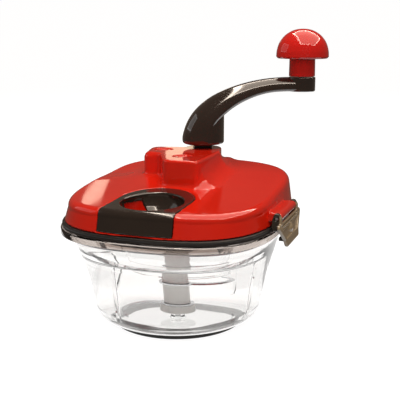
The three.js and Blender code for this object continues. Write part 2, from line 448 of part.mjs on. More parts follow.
// ---------------------------------------------------------------------- clip
const CLIP_FACE = 103.4;               // outer face at its upper edge
const CLIP_LEAN = 0.165;               // the plate stands off further at its foot
function clip() {
  const slab = (pts, x0, x1) => {
    const shape = new THREE.Shape(pts.map((p) => new THREE.Vector2(p[0], p[1])));
    const g = new THREE.ExtrudeGeometry(shape, { depth: x1 - x0, bevelEnabled: false, curveSegments: 1 });
    g.rotateX(Math.PI / 2);
    g.rotateZ(Math.PI / 2);
    g.translate(x0, 0, 0);
    return solid(g);
  };
  const rodX = (y, z, r, x0, x1, n = 16) => {
    const g = new THREE.CylinderGeometry(r, r, x1 - x0, n);
    g.rotateZ(Math.PI / 2);
    g.translate((x0 + x1) / 2, y, z);
    return solid(g);
  };
  // face plate: wide at the pin, drawn in to a grip tongue at the foot
  const X1 = CLIP_FACE, X0 = X1 - 2.8;
  let m = slab(rounded([[-37.5, 102.2, 2], [-39.2, 99.5, 1.5], [-24.5, 86.6, 2], [-21.5, 80.3, 3.5], [21.5, 80.3, 3.5], [24.5, 86.6, 2], [39.2, 99.5, 1.5], [37.5, 102.2, 2]], 45), X0, X1);
  let pocket = slab(rounded([[-33.5, 98.2, 1], [-20.5, 87.4, 1.5], [20.5, 87.4, 1.5], [33.5, 98.2, 1]], 60), X1 - 1.3, X1 + 2);
  pocket = pocket.subtract(box(X1 - 2, X1 + 3, -3.0, 3.0, 80, 96)).subtract(rodX(0, 94.0, 5.0, X1 - 2, X1 + 3, 16));
  m = m.subtract(pocket);
  const lean = new THREE.Matrix4().set(1, 0, -CLIP_LEAN, CLIP_LEAN * 102, 0, 1, 0, 0, 0, 0, 1, 0, 0, 0, 0, 1);
  m = m.transform(lean.elements);
  // cheeks on both ends of the tab, bored for the pin
  for (const e of [1, -1]) {
    const plan = rounded([[95.0, 95.6, 3.2], [103.2, 95.6, 0], [103.2, 106.6, 1.6], [100.6, 110.6, 1.8], [97.2, 110.6, 1.4], [95.0, 104.6, 2.4]], 30);
    const shape = new THREE.Shape(plan.map((p) => new THREE.Vector2(p[0], p[1])));
    const g = new THREE.ExtrudeGeometry(shape, { depth: 5.2, bevelEnabled: false, curveSegments: 1 });
    g.rotateX(Math.PI / 2);
    g.translate(0, e > 0 ? 27.0 + 5.2 : -27.0, 0);
    m = m.add(solid(g));
  }
  // hook bar that closes under the rim's edge
  m = m.add(box(96.5, 104, -12, 12, 82.4, 85.6));
  m = m.subtract(rodY(PIN_X, PIN_Z, PIN_R + 0.3, -40, 40, 12));
  return m;
}
add("rim_clip", clip(), "clip");

export default group;
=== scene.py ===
"""Looks for the hand-cranked vegetable chopper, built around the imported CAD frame."""
import math

import bmesh
import bpy
import numpy as np
from mathutils import Matrix, Vector


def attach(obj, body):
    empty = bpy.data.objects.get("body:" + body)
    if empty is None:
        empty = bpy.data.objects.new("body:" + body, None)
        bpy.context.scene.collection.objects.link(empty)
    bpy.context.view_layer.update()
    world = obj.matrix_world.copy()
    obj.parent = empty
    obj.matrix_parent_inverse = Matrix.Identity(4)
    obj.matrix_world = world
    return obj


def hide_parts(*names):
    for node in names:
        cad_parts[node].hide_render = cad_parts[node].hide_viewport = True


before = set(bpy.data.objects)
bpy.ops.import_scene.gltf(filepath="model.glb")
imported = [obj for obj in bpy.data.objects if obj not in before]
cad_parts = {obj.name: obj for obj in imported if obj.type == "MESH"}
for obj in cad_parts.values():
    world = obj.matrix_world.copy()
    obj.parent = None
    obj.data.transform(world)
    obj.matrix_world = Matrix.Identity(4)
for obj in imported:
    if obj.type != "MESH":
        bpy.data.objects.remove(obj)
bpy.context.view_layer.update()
MM = 0.001
pi = math.pi

# ------------------------------------------------------------------ numbers
LID_Z0, LID_W, WALL, HOUSING_TOP = 97.8, 93.2, 2.4, 146.8
CRANK_Y = 70.4
IDLER_Y = (55.0 ** 2 - 40.0 ** 2 + CRANK_Y ** 2) / (2 * CRANK_Y)
IDLER_X = -math.sqrt(55.0 ** 2 - IDLER_Y ** 2)
THROW, TURN = 94.4, math.radians(21)
KX, KY = THROW * math.cos(TURN), CRANK_Y + THROW * math.sin(TURN)
PIN_X, PIN_Z, PIN_R = 99.0, 106.3, 1.5


# ---------------------------------------------------------------- materials
def new_mat(name):
    m = bpy.data.materials.new(name)
    m.use_nodes = True
    nt = m.node_tree
    b = next(n for n in nt.nodes if n.type == "BSDF_PRINCIPLED")
    return m, nt, b


def coords(nt, scale=(1, 1, 1)):
    tc = nt.nodes.new("ShaderNodeTexCoord")
    mp = nt.nodes.new("ShaderNodeMapping")
    mp.inputs["Scale"].default_value = scale
    nt.links.new(tc.outputs["Object"], mp.inputs["Vector"])
    return mp.outputs["Vector"]


def noise(nt, vec, scale, detail=3, rough=0.5):
    n = nt.nodes.new("ShaderNodeTexNoise")
    n.inputs["Scale"].default_value = scale
    n.inputs["Detail"].default_value = detail
    n.inputs["Roughness"].default_value = rough
    nt.links.new(vec, n.inputs["Vector"])
    return n.outputs["Fac"]


def remap(nt, fac, lo, hi, a, b):
    r = nt.nodes.new("ShaderNodeMapRange")
    r.inputs["From Min"].default_value = lo
    r.inputs["From Max"].default_value = hi
    r.inputs["To Min"].default_value = a
    r.inputs["To Max"].default_value = b
    nt.links.new(fac, r.inputs["Value"])
    return r.outputs["Result"]


def blend_colours(nt, fac, c1, c2):
    m = nt.nodes.new("ShaderNodeMix")
    m.data_type = "RGBA"
    m.inputs[6].default_value = (*c1, 1)
    m.inputs[7].default_value = (*c2, 1)
    nt.links.new(fac, m.inputs[0])
    return m.outputs[2]


def bump(nt, bsdf, height, strength, distance):
    b = nt.nodes.new("ShaderNodeBump")
    b.inputs["Strength"].default_value = strength
    b.inputs["Distance"].default_value = distance
    nt.links.new(height, b.inputs["Height"])
    nt.links.new(b.outputs["Normal"], bsdf.inputs["Normal"])


def plastic(name, c1, c2, rough, spread, spec=0.5, ior=1.46, coat=0.0, swirl=18.0, grain=900.0, relief=0.00002,
            strength=0.25, painted_reflection=None):
    """Moulded plastic: faint flow clouds in the colour, uneven gloss with fine wipe marks, a slight surface waviness;
    optionally a painted reflection, a paler warm tan on the face beyond a given x.
    """
    m, nt, b = new_mat(name)
    v = coords(nt)
    cloud = noise(nt, v, swirl, 4, 0.55)
    body = blend_colours(nt, remap(nt, cloud, 0.35, 0.68, 0, 1), c1, c2)
    if painted_reflection:
        # painted reflection: the outer face is painted a paler, warm tan that stands in for a lit panel reflected there
        sep = nt.nodes.new("ShaderNodeSeparateXYZ")
        nt.links.new(v, sep.inputs[0])
        m2 = nt.nodes.new("ShaderNodeMix")
        m2.data_type = "RGBA"
        nt.links.new(remap(nt, sep.outputs[0], painted_reflection[0], painted_reflection[0] + 0.0012, 0, 1), m2.inputs[0])
        nt.links.new(body, m2.inputs[6])
        nt.links.new(blend_colours(nt, cloud, painted_reflection[1], painted_reflection[2]), m2.inputs[7])
        body = m2.outputs[2]
    nt.links.new(body, b.inputs["Base Color"])
    wipe = noise(nt, coords(nt, (1, 7, 2)), 55, 5, 0.7)
    fine = noise(nt, v, grain, 2, 0.6)
    mix = nt.nodes.new("ShaderNodeMath")
    mix.operation = "MULTIPLY_ADD"
    nt.links.new(fine, mix.inputs[0])
    mix.inputs[1].default_value = 0.35
    nt.links.new(wipe, mix.inputs[2])
    nt.links.new(remap(nt, mix.outputs[0], 0.45, 0.95, rough, rough + spread), b.inputs["Roughness"])
    b.inputs["IOR"].default_value = ior
    b.inputs["Specular IOR Level"].default_value = spec
    if coat:
        b.inputs["Coat Weight"].default_value = coat
        b.inputs["Coat Roughness"].default_value = 0.03
    bump(nt, b, fine, strength, relief)
    return m


def clear_plastic(name, tint, rough, ior=1.47, painted_rim_shade=None):
    m, nt, b = new_mat(name)
    v = coords(nt)
    cloud = noise(nt, v, 14, 3, 0.5)
    body = blend_colours(nt, cloud, tint, tuple(min(1.0, t + 0.02) for t in tint))
    if painted_rim_shade:
        # painted shade: the colour deepens to a smoky brown above a height, darkening the rim band
        sep = nt.nodes.new("ShaderNodeSeparateXYZ")
        nt.links.new(v, sep.inputs[0])
        m2 = nt.nodes.new("ShaderNodeMix")
        m2.data_type = "RGBA"
        nt.links.new(remap(nt, sep.outputs[2], painted_rim_shade[0], painted_rim_shade[0] + 0.0015, 0, 1), m2.inputs[0])
        nt.links.new(body, m2.inputs[6])
        nt.links.new(blend_colours(nt, noise(nt, v, 40, 3), painted_rim_shade[1], tuple(t * 1.15 for t in painted_rim_shade[1])), m2.inputs[7])
        body = m2.outputs[2]
    nt.links.new(body, b.inputs["Base Color"])
    wipe = noise(nt, coords(nt, (1, 1, 5)), 60, 4, 0.65)
    nt.links.new(remap(nt, wipe, 0.4, 0.8, rough, rough + 0.02), b.inputs["Roughness"])
    b.inputs["Transmission Weight"].default_value = 1.0
    b.inputs["IOR"].default_value = ior
    bump(nt, b, noise(nt, v, 34, 2, 0.4), 0.03, 0.0001)
    return m


def steel(name, c, rough, spread, stretch=(1, 1, 1), scale=400, brush=0.15):
    m, nt, b = new_mat(name)
    v = coords(nt, stretch)
    lines = noise(nt, v, scale, 4, 0.7)
    nt.links.new(blend_colours(nt, lines, tuple(x * 0.88 for x in c), c), b.inputs["Base Color"])
    nt.links.new(remap(nt, lines, 0.3, 0.7, rough, rough + spread), b.inputs["Roughness"])
    b.inputs["Metallic"].default_value = 1.0
    bump(nt, b, lines, brush, 0.00002)
    return m


M = {
    "red": plastic("lid_red_gloss", (0.67, 0.013, 0.004), (0.71, 0.017, 0.005), 0.06, 0.04, spec=0.5, coat=0.2, relief=0.000003, strength=0.12),
    "red_hidden": plastic("lid_red_satin", (0.56, 0.010, 0.004), (0.62, 0.014, 0.005), 0.22, 0.10, spec=0.4),
    "knob": plastic("knob_red_gloss", (0.66, 0.012, 0.008), (0.70, 0.016, 0.010), 0.06, 0.05, spec=0.5, coat=0.2, relief=0.00001, strength=0.12),
    "black": plastic("handle_black_gloss", (0.018, 0.010, 0.007), (0.026, 0.015, 0.010), 0.09, 0.06, spec=0.9, coat=0.7, relief=0.00001, strength=0.15),
    "insert": plastic("insert_black_gloss", (0.017, 0.010, 0.007), (0.024, 0.015, 0.010), 0.12, 0.07, spec=0.85, coat=0.3, relief=0.00001, strength=0.15),
    "satin": plastic("black_satin", (0.014, 0.012, 0.011), (0.022, 0.019, 0.017), 0.34, 0.12, spec=0.4),
    "rubber": plastic("seal_rubber", (0.012, 0.010, 0.009), (0.020, 0.017, 0.015), 0.36, 0.16, spec=0.35, grain=1500, relief=0.00004, strength=0.4),
    # the clip's outer face carries a painted reflection: a paler warm tan in place of the lit panel's reflection
    "clip": plastic("clip_gloss", (0.022, 0.018, 0.012), (0.030, 0.024, 0.016), 0.12, 0.08, spec=0.8, coat=0.3, swirl=30, relief=0.00001, strength=0.15,
                    painted_reflection=(0.1012, (0.31, 0.225, 0.125), (0.39, 0.285, 0.165))),
    "white": plastic("natural_white", (0.76, 0.75, 0.71), (0.82, 0.81, 0.78), 0.32, 0.12, spec=0.45),
    # the bowl above 86.2 mm carries painted shade: a smoky brown mixed into the clear colour
    "clear": clear_plastic("bowl_clear_plastic", (0.945, 0.940, 0.932), 0.0, painted_rim_shade=(0.0862, (0.29, 0.225, 0.19))),
    "collar": clear_plastic("collar_clear_plastic", (0.965, 0.968, 0.968), 0.01),
    "steel": steel("drawn_steel", (0.62, 0.62, 0.62), 0.22, 0.12, (1, 1, 14), 220),
    "blade": steel("ground_blade_steel", (0.66, 0.67, 0.68), 0.16, 0.14, (1, 9, 1), 260, 0.25),
}


# ------------------------------------------------------------- mesh helpers
def obj_from(name, verts, faces, mat, body, nodes=(), normals=None, weighted=False, sharp=None, scale=MM):
    me = bpy.data.meshes.new(name)
    verts = np.asarray(verts, float) * scale
    if isinstance(faces, np.ndarray):
        n = faces.shape[1]
        me.vertices.add(len(verts))
        me.vertices.foreach_set("co", verts.astype(np.float32).ravel())
        me.loops.add(faces.size)
        me.loops.foreach_set("vertex_index", faces.astype(np.int32).ravel())
        me.polygons.add(len(faces))
        me.polygons.foreach_set("loop_start", np.arange(0, faces.size, n, dtype=np.int32))
        me.update(calc_edges=True)
    else:
        me.from_pydata([tuple(v) for v in verts], [], [list(f) for f in faces])
        me.update()
    me.validate()
    me.polygons.foreach_set("use_smooth", np.ones(len(me.polygons), bool))
    if sharp is not None:
        me.set_sharp_from_angle(angle=math.radians(sharp))
    if normals is not None:
        me.normals_split_custom_set_from_vertices([tuple(n) for n in normals])
    ob = bpy.data.objects.new(name, me)
    bpy.context.scene.collection.objects.link(ob)
    ob.data.materials.append(M[mat])
    if weighted:
        w = ob.modifiers.new("normals", "WEIGHTED_NORMAL")
        w.keep_sharp = True
        w.weight = 60
    if body:
        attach(ob, body)
    if nodes:
        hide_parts(*nodes)
    return ob


def fillet_line(pts, step=14, closed=False):
    """A polyline of (x, z, m, radius) with its corners rounded: returns rows of (x, z, m)."""
    out, n = [], len(pts)
    for i, p in enumerate(pts):
        r = p[3] if len(p) > 3 else 0
        if (not closed and i in (0, n - 1)) or r <= 0:
            out.append((p[0], p[1], p[2] if len(p) > 2 else 0))
            continue
        a, c = pts[(i - 1) % n], pts[(i + 1) % n]
        P, A, C = (np.array(q[:2], float) for q in (p, a, c))
        u, v = (A - P), (C - P)
        lu, lv = np.linalg.norm(u), np.linalg.norm(v)
        u, v = u / lu, v / lv
        ang = math.acos(max(-1, min(1, float(u @ v))))
        if pi - ang < 0.02:
            out.append((p[0], p[1], p[2] if len(p) > 2 else 0))
            continue
        d = min(r / math.tan(ang / 2), 0.48 * lu, 0.48 * lv)
        r = d * math.tan(ang / 2)
        cen = P + (u + v) / np.linalg.norm(u + v) * (r / math.sin(ang / 2))
        s, e = P + u * d - cen, P + v * d - cen
        t0, dt = math.atan2(s[1], s[0]), 0
        dt = (math.atan2(e[1], e[0]) - t0 + pi) % (2 * pi) - pi
        k = max(2, int(abs(dt) * 180 / pi / step) + 1)
        mp = p[2] if len(p) > 2 else 0
        ma, mc = (a[2] if len(a) > 2 else 0), (c[2] if len(c) > 2 else 0)
        for j in range(k + 1):
            q = cen + r * np.array([math.cos(t0 + dt * j / k), math.sin(t0 + dt * j / k)])
            f = j / k
            m0, m1 = mp + (ma - mp) * d / lu, mp + (mc - mp) * d / lv
            out.append((q[0], q[1], m0 + (m1 - m0) * f))
    return out


def outline_xy(w, t, m):
    c, s = np.cos(t), np.sin(t)
    n = 2 + m * np.where(s < 0, 0.7, 2.5)
    f = 1 / (np.abs(c) ** n + np.abs(s) ** n) ** (1 / n)
    return w * f * c, w * f * s * np.where(s < 0, 1 + 0.025 * m, 1)


def lathe(name, prof, mat, body, nodes=(), segs=144, closed=False, at=(0, 0), change=None, angles=None,
          zfun=None, sharp=None):
    """A turned piece. prof: rows of (radius, z, m) in order, outside of the solid to the right of travel going up."""
    t = np.linspace(0, 2 * pi, segs, endpoint=False) if angles is None else np.asarray(angles)
    verts, rings = [], []
    for j, (w, z, m) in enumerate(prof):
        if w < 1e-6:
            verts.append((at[0], at[1], z))
            rings.append([len(verts) - 1] * len(t))
            continue
        ww = np.full(len(t), float(w)) if change is None else change(t, w, z, j)
        x, y = outline_xy(ww, t, m)
        zz = np.full(len(t), float(z)) if zfun is None else zfun(x, y, z, j)
        start = len(verts)
        verts += [(x[i] + at[0], y[i] + at[1], zz[i]) for i in range(len(t))]
        rings.append(list(range(start, start + len(t))))
    faces = []
    pairs = list(zip(rings[:-1], rings[1:])) + ([(rings[-1], rings[0])] if closed else [])
    k = len(t)
    for A, B in pairs:
        for i in range(k):
            q = [A[i], A[(i + 1) % k], B[(i + 1) % k], B[i]]
            q = [v for a, v in enumerate(q) if v != q[a - 1]]
            if len(q) >= 3:
                faces.append(q)
    me_v = np.array(verts)
    vol = 0.0
    for f in faces:
        a = me_v[f[0]]
        for i in range(1, len(f) - 1):
            vol += float(np.dot(a, np.cross(me_v[f[i]], me_v[f[i + 1]])))
    if vol < 0:
        faces = [f[::-1] for f in faces]
    return obj_from(name, verts, faces, mat, body, nodes, weighted=True, sharp=sharp or 40)


def catmull(keys, per=8):
    """Dense smooth curve through the key rows."""
    K = np.array(keys, float)
    P = np.vstack([2 * K[0] - K[1], K, 2 * K[-1] - K[-2]])
    out = []
    for i in range(1, len(P) - 2):
        for j in range(per):
            s = j / per
            out.append(0.5 * ((2 * P[i]) + (-P[i - 1] + P[i + 1]) * s + (2 * P[i - 1] - 5 * P[i] + 4 * P[i + 1] - P[i + 2]) * s * s
                              + (-P[i - 1] + 3 * P[i] - 3 * P[i + 1] + P[i + 2]) * s ** 3))
    out.append(K[-1])
    return np.array(out)


# --------------------------------------------------- implicit-surface tools
def r_inter(a, b, r):
    return np.minimum(-r, np.maximum(a, b)) + np.sqrt(np.maximum(r + a, 0) ** 2 + np.maximum(r + b, 0) ** 2)


def r_union(a, b, r):
    return np.maximum(r, np.minimum(a, b)) - np.sqrt(np.maximum(r - a, 0) ** 2 + np.maximum(r - b, 0) ** 2)


def poly_sdf(px, py, pts):
    px, py = np.broadcast_arrays(np.asarray(px, float), np.asarray(py, float))
    d2 = np.full(px.shape, 1e18)
    inside = np.zeros(px.shape, bool)
    n = len(pts)
    for i in range(n):
        (ax, ay), (bx, by) = pts[i], pts[(i + 1) % n]
        ex, ey = bx - ax, by - ay
        L = ex * ex + ey * ey
        if L < 1e-12:
            continue
        wx, wy = px - ax, py - ay
        t = np.clip((wx * ex + wy * ey) / L, 0, 1)
        d2 = np.minimum(d2, (wx - ex * t) ** 2 + (wy - ey * t) ** 2)
        cond = ((py >= ay) & (py < by)) | ((py >= by) & (py < ay))
        if abs(ey) > 1e-12:
            inside ^= cond & (px < ax + (py - ay) * ex / ey)
    d = np.sqrt(d2)
    return np.where(inside, -d, d)


def rounded(corners, step=7):
    out, n = [], len(corners)
    for i in range(n):
        (px, py, _), (x, y, r), (qx, qy, _) = corners[i - 1], corners[i], corners[(i + 1) % n]
        a, b = np.array([px - x, py - y], float), np.array([qx - x, qy - y], float)
        a, b = a / np.linalg.norm(a), b / np.linalg.norm(b)
        if not r:
            out.append((x, y))
            continue
        ang = math.acos(max(-1, min(1, float(a @ b))))
        d = r / math.tan(ang / 2)
        c = (a + b) / np.linalg.norm(a + b) * (r / math.sin(ang / 2))
        s, e = a * d - c, b * d - c
        t0 = math.atan2(s[1], s[0])
        dt = (math.atan2(e[1], e[0]) - t0 + pi) % (2 * pi) - pi
        k = max(1, round(abs(dt) * 180 / pi / step))
        for j in range(k + 1):
            out.append((x + c[0] + r * math.cos(t0 + dt * j / k), y + c[1] + r * math.sin(t0 + dt * j / k)))
    return out


def net(name, f, lo, hi, h, mat, body, nodes=(), relax=2):
    """Skins the implicit solid f < 0 with an even quad mesh whose points and normals are exact."""
    ax = [np.arange(lo[k], hi[k] + h, h) for k in range(3)]
    F = f(ax[0][:, None, None], ax[1][None, :, None], ax[2][None, None, :])
    F = np.broadcast_to(F, tuple(len(a) for a in ax)).astype(np.float64)
    inside = F < 0
    nx, ny, nz = F.shape
    cnt = np.zeros((nx - 1, ny - 1, nz - 1), np.int8)
    for dx in (0, 1):
        for dy in (0, 1):
            for dz in (0, 1):
                cnt += inside[dx:nx - 1 + dx, dy:ny - 1 + dy, dz:nz - 1 + dz]
    active = (cnt > 0) & (cnt < 8)
    I, J, K = np.nonzero(active)
    idx = np.full(active.shape, -1, np.int64)
    idx[I, J, K] = np.arange(len(I))
    acc, num = np.zeros((len(I), 3)), np.zeros(len(I))
    corner = [(a, b, c) for a in (0, 1) for b in (0, 1) for c in (0, 1)]
    for p in corner:
        for k in range(3):
            if p[k]:
                continue
            q = list(p)
            q[k] = 1
            va, vb = F[I + p[0], J + p[1], K + p[2]], F[I + q[0], J + q[1], K + q[2]]
            hit = (va < 0) != (vb < 0)
            t = np.where(hit, va / np.where(hit, va - vb, 1), 0)
            pt = np.stack([np.full(len(I), p[0], float), np.full(len(I), p[1], float), np.full(len(I), p[2], float)], 1)
            pt[:, k] = t
            acc += pt * hit[:, None]
            num += hit
    pts = (acc / num[:, None] + np.stack([I, J, K], 1)) * h + np.array(lo, float)
    quads = []
    for k in range(3):
        a, b = (k + 1) % 3, (k + 2) % 3
        s0 = [slice(None)] * 3
        s1 = [slice(None)] * 3
        s0[k], s1[k] = slice(0, -1), slice(1, None)
        for s in (s0, s1):
            s[a], s[b] = slice(1, -1), slice(1, -1)
        A, B = inside[tuple(s0)], inside[tuple(s1)]
        e = np.argwhere(A != B)
        if not len(e):
            continue
        up = A[tuple(e.T)]
        c = e.copy()
        c[:, a] += 1
        c[:, b] += 1
        def cell(da, db):
            q = c.copy()
            q[:, a] += da
            q[:, b] += db
            return idx[q[:, 0], q[:, 1], q[:, 2]]
        q = np.stack([cell(-1, -1), cell(0, -1), cell(0, 0), cell(-1, 0)], 1)
        q[~up] = q[~up][:, ::-1]
        quads.append(q)
    quads = np.concatenate(quads)

    def grad(P, e=0.04):
        g = np.empty_like(P)
        for k in range(3):
            d = np.zeros(3)
            d[k] = e
            g[:, k] = (f(*(P + d).T) - f(*(P - d).T)) / (2 * e)
        return g

    def project(P, times):
        for _ in range(times):
            v = f(*P.T)
            g = grad(P)
            P = P - np.clip(v / np.maximum((g ** 2).sum(1), 0.05), -0.5 * h, 0.5 * h)[:, None] * g
        return P

    pts = project(pts, 2)
    edges = np.concatenate([quads[:, [0, 1]], quads[:, [1, 2]], quads[:, [2, 3]], quads[:, [3, 0]]])
    edges = np.unique(np.sort(edges, 1), axis=0)
    deg = np.bincount(edges.ravel(), minlength=len(pts)).astype(float)
    for _ in range(relax):
        s = np.zeros_like(pts)
        for k in range(3):
            s[:, k] = np.bincount(edges[:, 0], pts[edges[:, 1], k], len(pts)) + np.bincount(edges[:, 1], pts[edges[:, 0], k], len(pts))
        d = s / deg[:, None] - pts
        g = grad(pts)
        g /= np.maximum(np.linalg.norm(g, axis=1), 1e-6)[:, None]
        d -= (d * g).sum(1)[:, None] * g
        pts = project(pts + 0.6 * d, 1)
    g = grad(pts, 0.12)
    g /= np.maximum(np.linalg.norm(g, axis=1), 1e-6)[:, None]
    return obj_from(name, pts, quads, mat, body, nodes, normals=g)


# --------------------------------------------------------------------- bowl
RIBS = [math.radians(a) for a in (-112.5, -15, 67.5, 165)]
bowl_line = fillet_line([
    (0, 0), (6.8, 0, 0, 0.4), (6.8, 4.9, 0, 0.6), (60.6, 4.9, 0, 2), (65.5, 5.5, 0, 5), (70.6, 7.6, 0, 6), (74.4, 12.6, 0, 10), (77.2, 27.0, 0.02, 40),
    (80.0, 44.0, 0.12, 60), (84.3, 62.0, 0.3, 60), (87.2, 76.0, 0.5, 30), (90.5, 84.0, 0.85, 6), (92.6, 87.0, 1, 1.0),
    (95.6, 87.0, 1, 0.6), (96.0, 87.6, 1, 0.5), (96.0, 92.1, 1, 0.6), (95.2, 92.8, 1, 0.6), (88.2, 92.8, 1, 1.2),
    (85.0, 80.0, 0.65, 10), (80.4, 67.5, 0.45, 2.4), (75.0, 67.1, 0, 1.2),
    (74.8, 63.2, 0, 4), (74.7, 62.4, 0, 4), (73.4, 20.0, 0, 6), (73.2, 17.6, 0, 6),
    (71.2, 11.2, 0, 6), (68.0, 7.6, 0, 6), (62.0, 6.8, 0, 3), (6.4, 6.8, 0, 0.6), (6.1, 12.0, 0, 0.5), (2.85, 12.0, 0, 0.4), (2.85, 7.0, 0, 0.3), (0, 7.0)], 10)
fine = []
for a, b in zip(bowl_line[:-1], bowl_line[1:]):
    k = max(1, int(abs(b[1] - a[1]) / 3.0))
    fine += [tuple(np.array(a) + (np.array(b) - np.array(a)) * j / k) for j in range(k)]
bowl_line = fine + [bowl_line[-1]]
inner_from = next(i for i, p in enumerate(bowl_line) if i > 20 and p[0] < 75.2 and p[1] < 67.3 and bowl_line[i - 1][0] >= 75.2)


def rib_change(t, w, z, j):
    ww = np.full(len(t), float(w))
    if j >= inner_from and 16.5 < z < 66.5 and w > 70:
        fade = min(1, (z - 16.5) / 4.0, (66.5 - z) / 4.0)
        for r in RIBS:
            d = np.abs((t - r + pi) % (2 * pi) - pi) * 74
            ww -= 1.7 * fade * np.clip(1.0 - (d / 2.6) ** 2, 0, 1) ** 0.5
    return ww


angles = list(np.linspace(0, 2 * pi, 224, endpoint=False))
for r in RIBS:
    angles += [(r + math.radians(a)) % (2 * pi) for a in (-2.3, -2.05, -1.9, -1.6, -1.1, -0.5, 0, 0.5, 1.1, 1.6, 1.9, 2.05, 2.3)]
angles = sorted(angles)
angles = [a for i, a in enumerate(angles) if i == 0 or a - angles[i - 1] > math.radians(0.12)]
lathe("bowl_visual", bowl_line, "clear", "bowl_body", ("bowl",), change=rib_change, angles=angles)
lathe("foot_ring_visual", fillet_line([
    (52.0, 0, 0, 0.6), (59.7, 0, 0, 0.5), (60.4, 0.8, 0, 0.6), (60.4, 4.6, 0, 0.5), (52.0, 4.6, 0, 0.5)], 18, True),
    "rubber", "bowl_body", ("foot_ring",), segs=160, closed=True)

# -------------------------------------------------------------------- seals
lathe("gasket_visual", fillet_line([
    (83.0, 86.8, 0.72, 0.5), (84.7, 86.8, 0.72, 0.5), (87.3, 92.6, 1, 0.3), (87.7, 93.15, 1, 0.2), (94.4, 93.15, 1, 0.5), (94.8, 93.9, 1, 0.5), (94.45, 95.2, 1, 0.3),
    (94.75, 96.1, 1, 0.5), (94.3, 97.0, 1, 0.5), (93.7, 97.45, 1, 0.4), (85.2, 97.45, 1, 0.5), (85.2, 92.6, 1, 0.8)], 18, True), "rubber", "lid", ("gasket",), segs=224, closed=True)


# ---------------------------------------------------------------------- lid
def smooth01(v):
    v = np.clip(v, 0, 1)
    return v * v * (3 - 2 * v)


def crown(x, y):
    return (123.9 + 0.0886 * y + np.where(y < 0, 0.0003, 0.00043) * y * y - 3.82 * (x / 88) ** 2 - 0.43 * ((x * x + y * y) / 7744) ** 2
            - 2.4 * smooth01((-x - 35) / 35) * smooth01((y - 5) / 45))


DEPTHS, SQUARE = [0, 0.35, 1.4, 3.2, 5.6, 9.5], [0.88, 0.92, 0.95, 0.97, 0.985, 1.0]


def side_dist(x, y, m, W):
    neg = y < 0
    n = 2 + m * np.where(neg, 0.62, 3.3)
    yy = np.abs(y) / np.where(neg, 1 + 0.025 * m, 1)
    xx = np.abs(x) + 1e-6
    yy = yy + 1e-6
    w = (xx ** n + yy ** n) ** (1 / n)
    g = np.sqrt((xx / w) ** (2 * (n - 1)) + (yy / w) ** (2 * (n - 1)))
    return (w - W) / np.maximum(g, 0.6)


def lid_ab(x, y, z):
    top = crown(x, y)
    d = top - z
    m = np.interp(d, DEPTHS, SQUARE)
    run = np.maximum(np.minimum(top, 140) - 9.5 - 98.3, 4)
    W = 93.2 - 2.3 * np.clip((z - 98.3) / run, 0, 1.35)
    return side_dist(x, y, m, W), -d


def housing_plan(d):
    return rounded([(-8.5 + d * 0.5, -12.5 + d, 8.5 - d * 0.5), (23.4 - d, -12.5 + d, 3.6 - d * 0.8), (23.4 - d, 52, 12), (14 - d * 0.9, 86.5 - d, 13 - d),
                    (-16 + d, 86.5 - d, 12 - d), (-18 + d, 67 - d * 0.82, 4 + d * 0.6), (-48 + d * 1.09, 61 - d * 0.8, 9 - d), (-44 + d * 0.9, 23 + d, 9 - d),
                    (-26 + d * 0.7, 23 + d, 7)])


PLAN, PLAN_IN = housing_plan(0), housing_plan(WALL)


def flare(x, y, z):
    """Hollow curve between crown and housing: wide along the right wall and behind, tight elsewhere."""
    return 2.6 + 15.4 * smooth01((x - 13) / 11) * smooth01((y + 16) / 14) + 0 * z


def edge_radius(x, y, z):
    return 2.3 + (3.6 - 3.3 * smooth01((y - 28) / 24)) * smooth01((-26 - x) / 12) + 0 * z


def outer(x, y, z, with_housing=True):
    a, b = lid_ab(x, y, z)
    body = r_inter(a, b, 5.4)
    if not with_housing:
        return body
    p = poly_sdf(x, y, PLAN)
    house = r_inter(p, z - HOUSING_TOP, edge_radius(x, y, z))
    r = flare(x, y, z)
    return r_union(body, house, r)


def u_dist(x, y):
    """Outline of the opening for the insert: round towards the housing, sides nearly straight to the front."""
    t = np.minimum(y + 48.0, 0)
    left, right = -33.6 + t * 0.0435, 32.0 + t * 0.0266
    mid, half = (left + right) / 2, (right - left) / 2
    return np.hypot(x - mid, np.maximum(y + 48.0, 0)) - half


def cyl(x, y, cx, cy, r):
    return np.hypot(x - cx, y - cy) - r


POCKETS = [(IDLER_X, IDLER_Y), (0.0, 12.4)]
SCREWS = [(64, 60), (64, -58), (-64, -58), (-78, 10)]


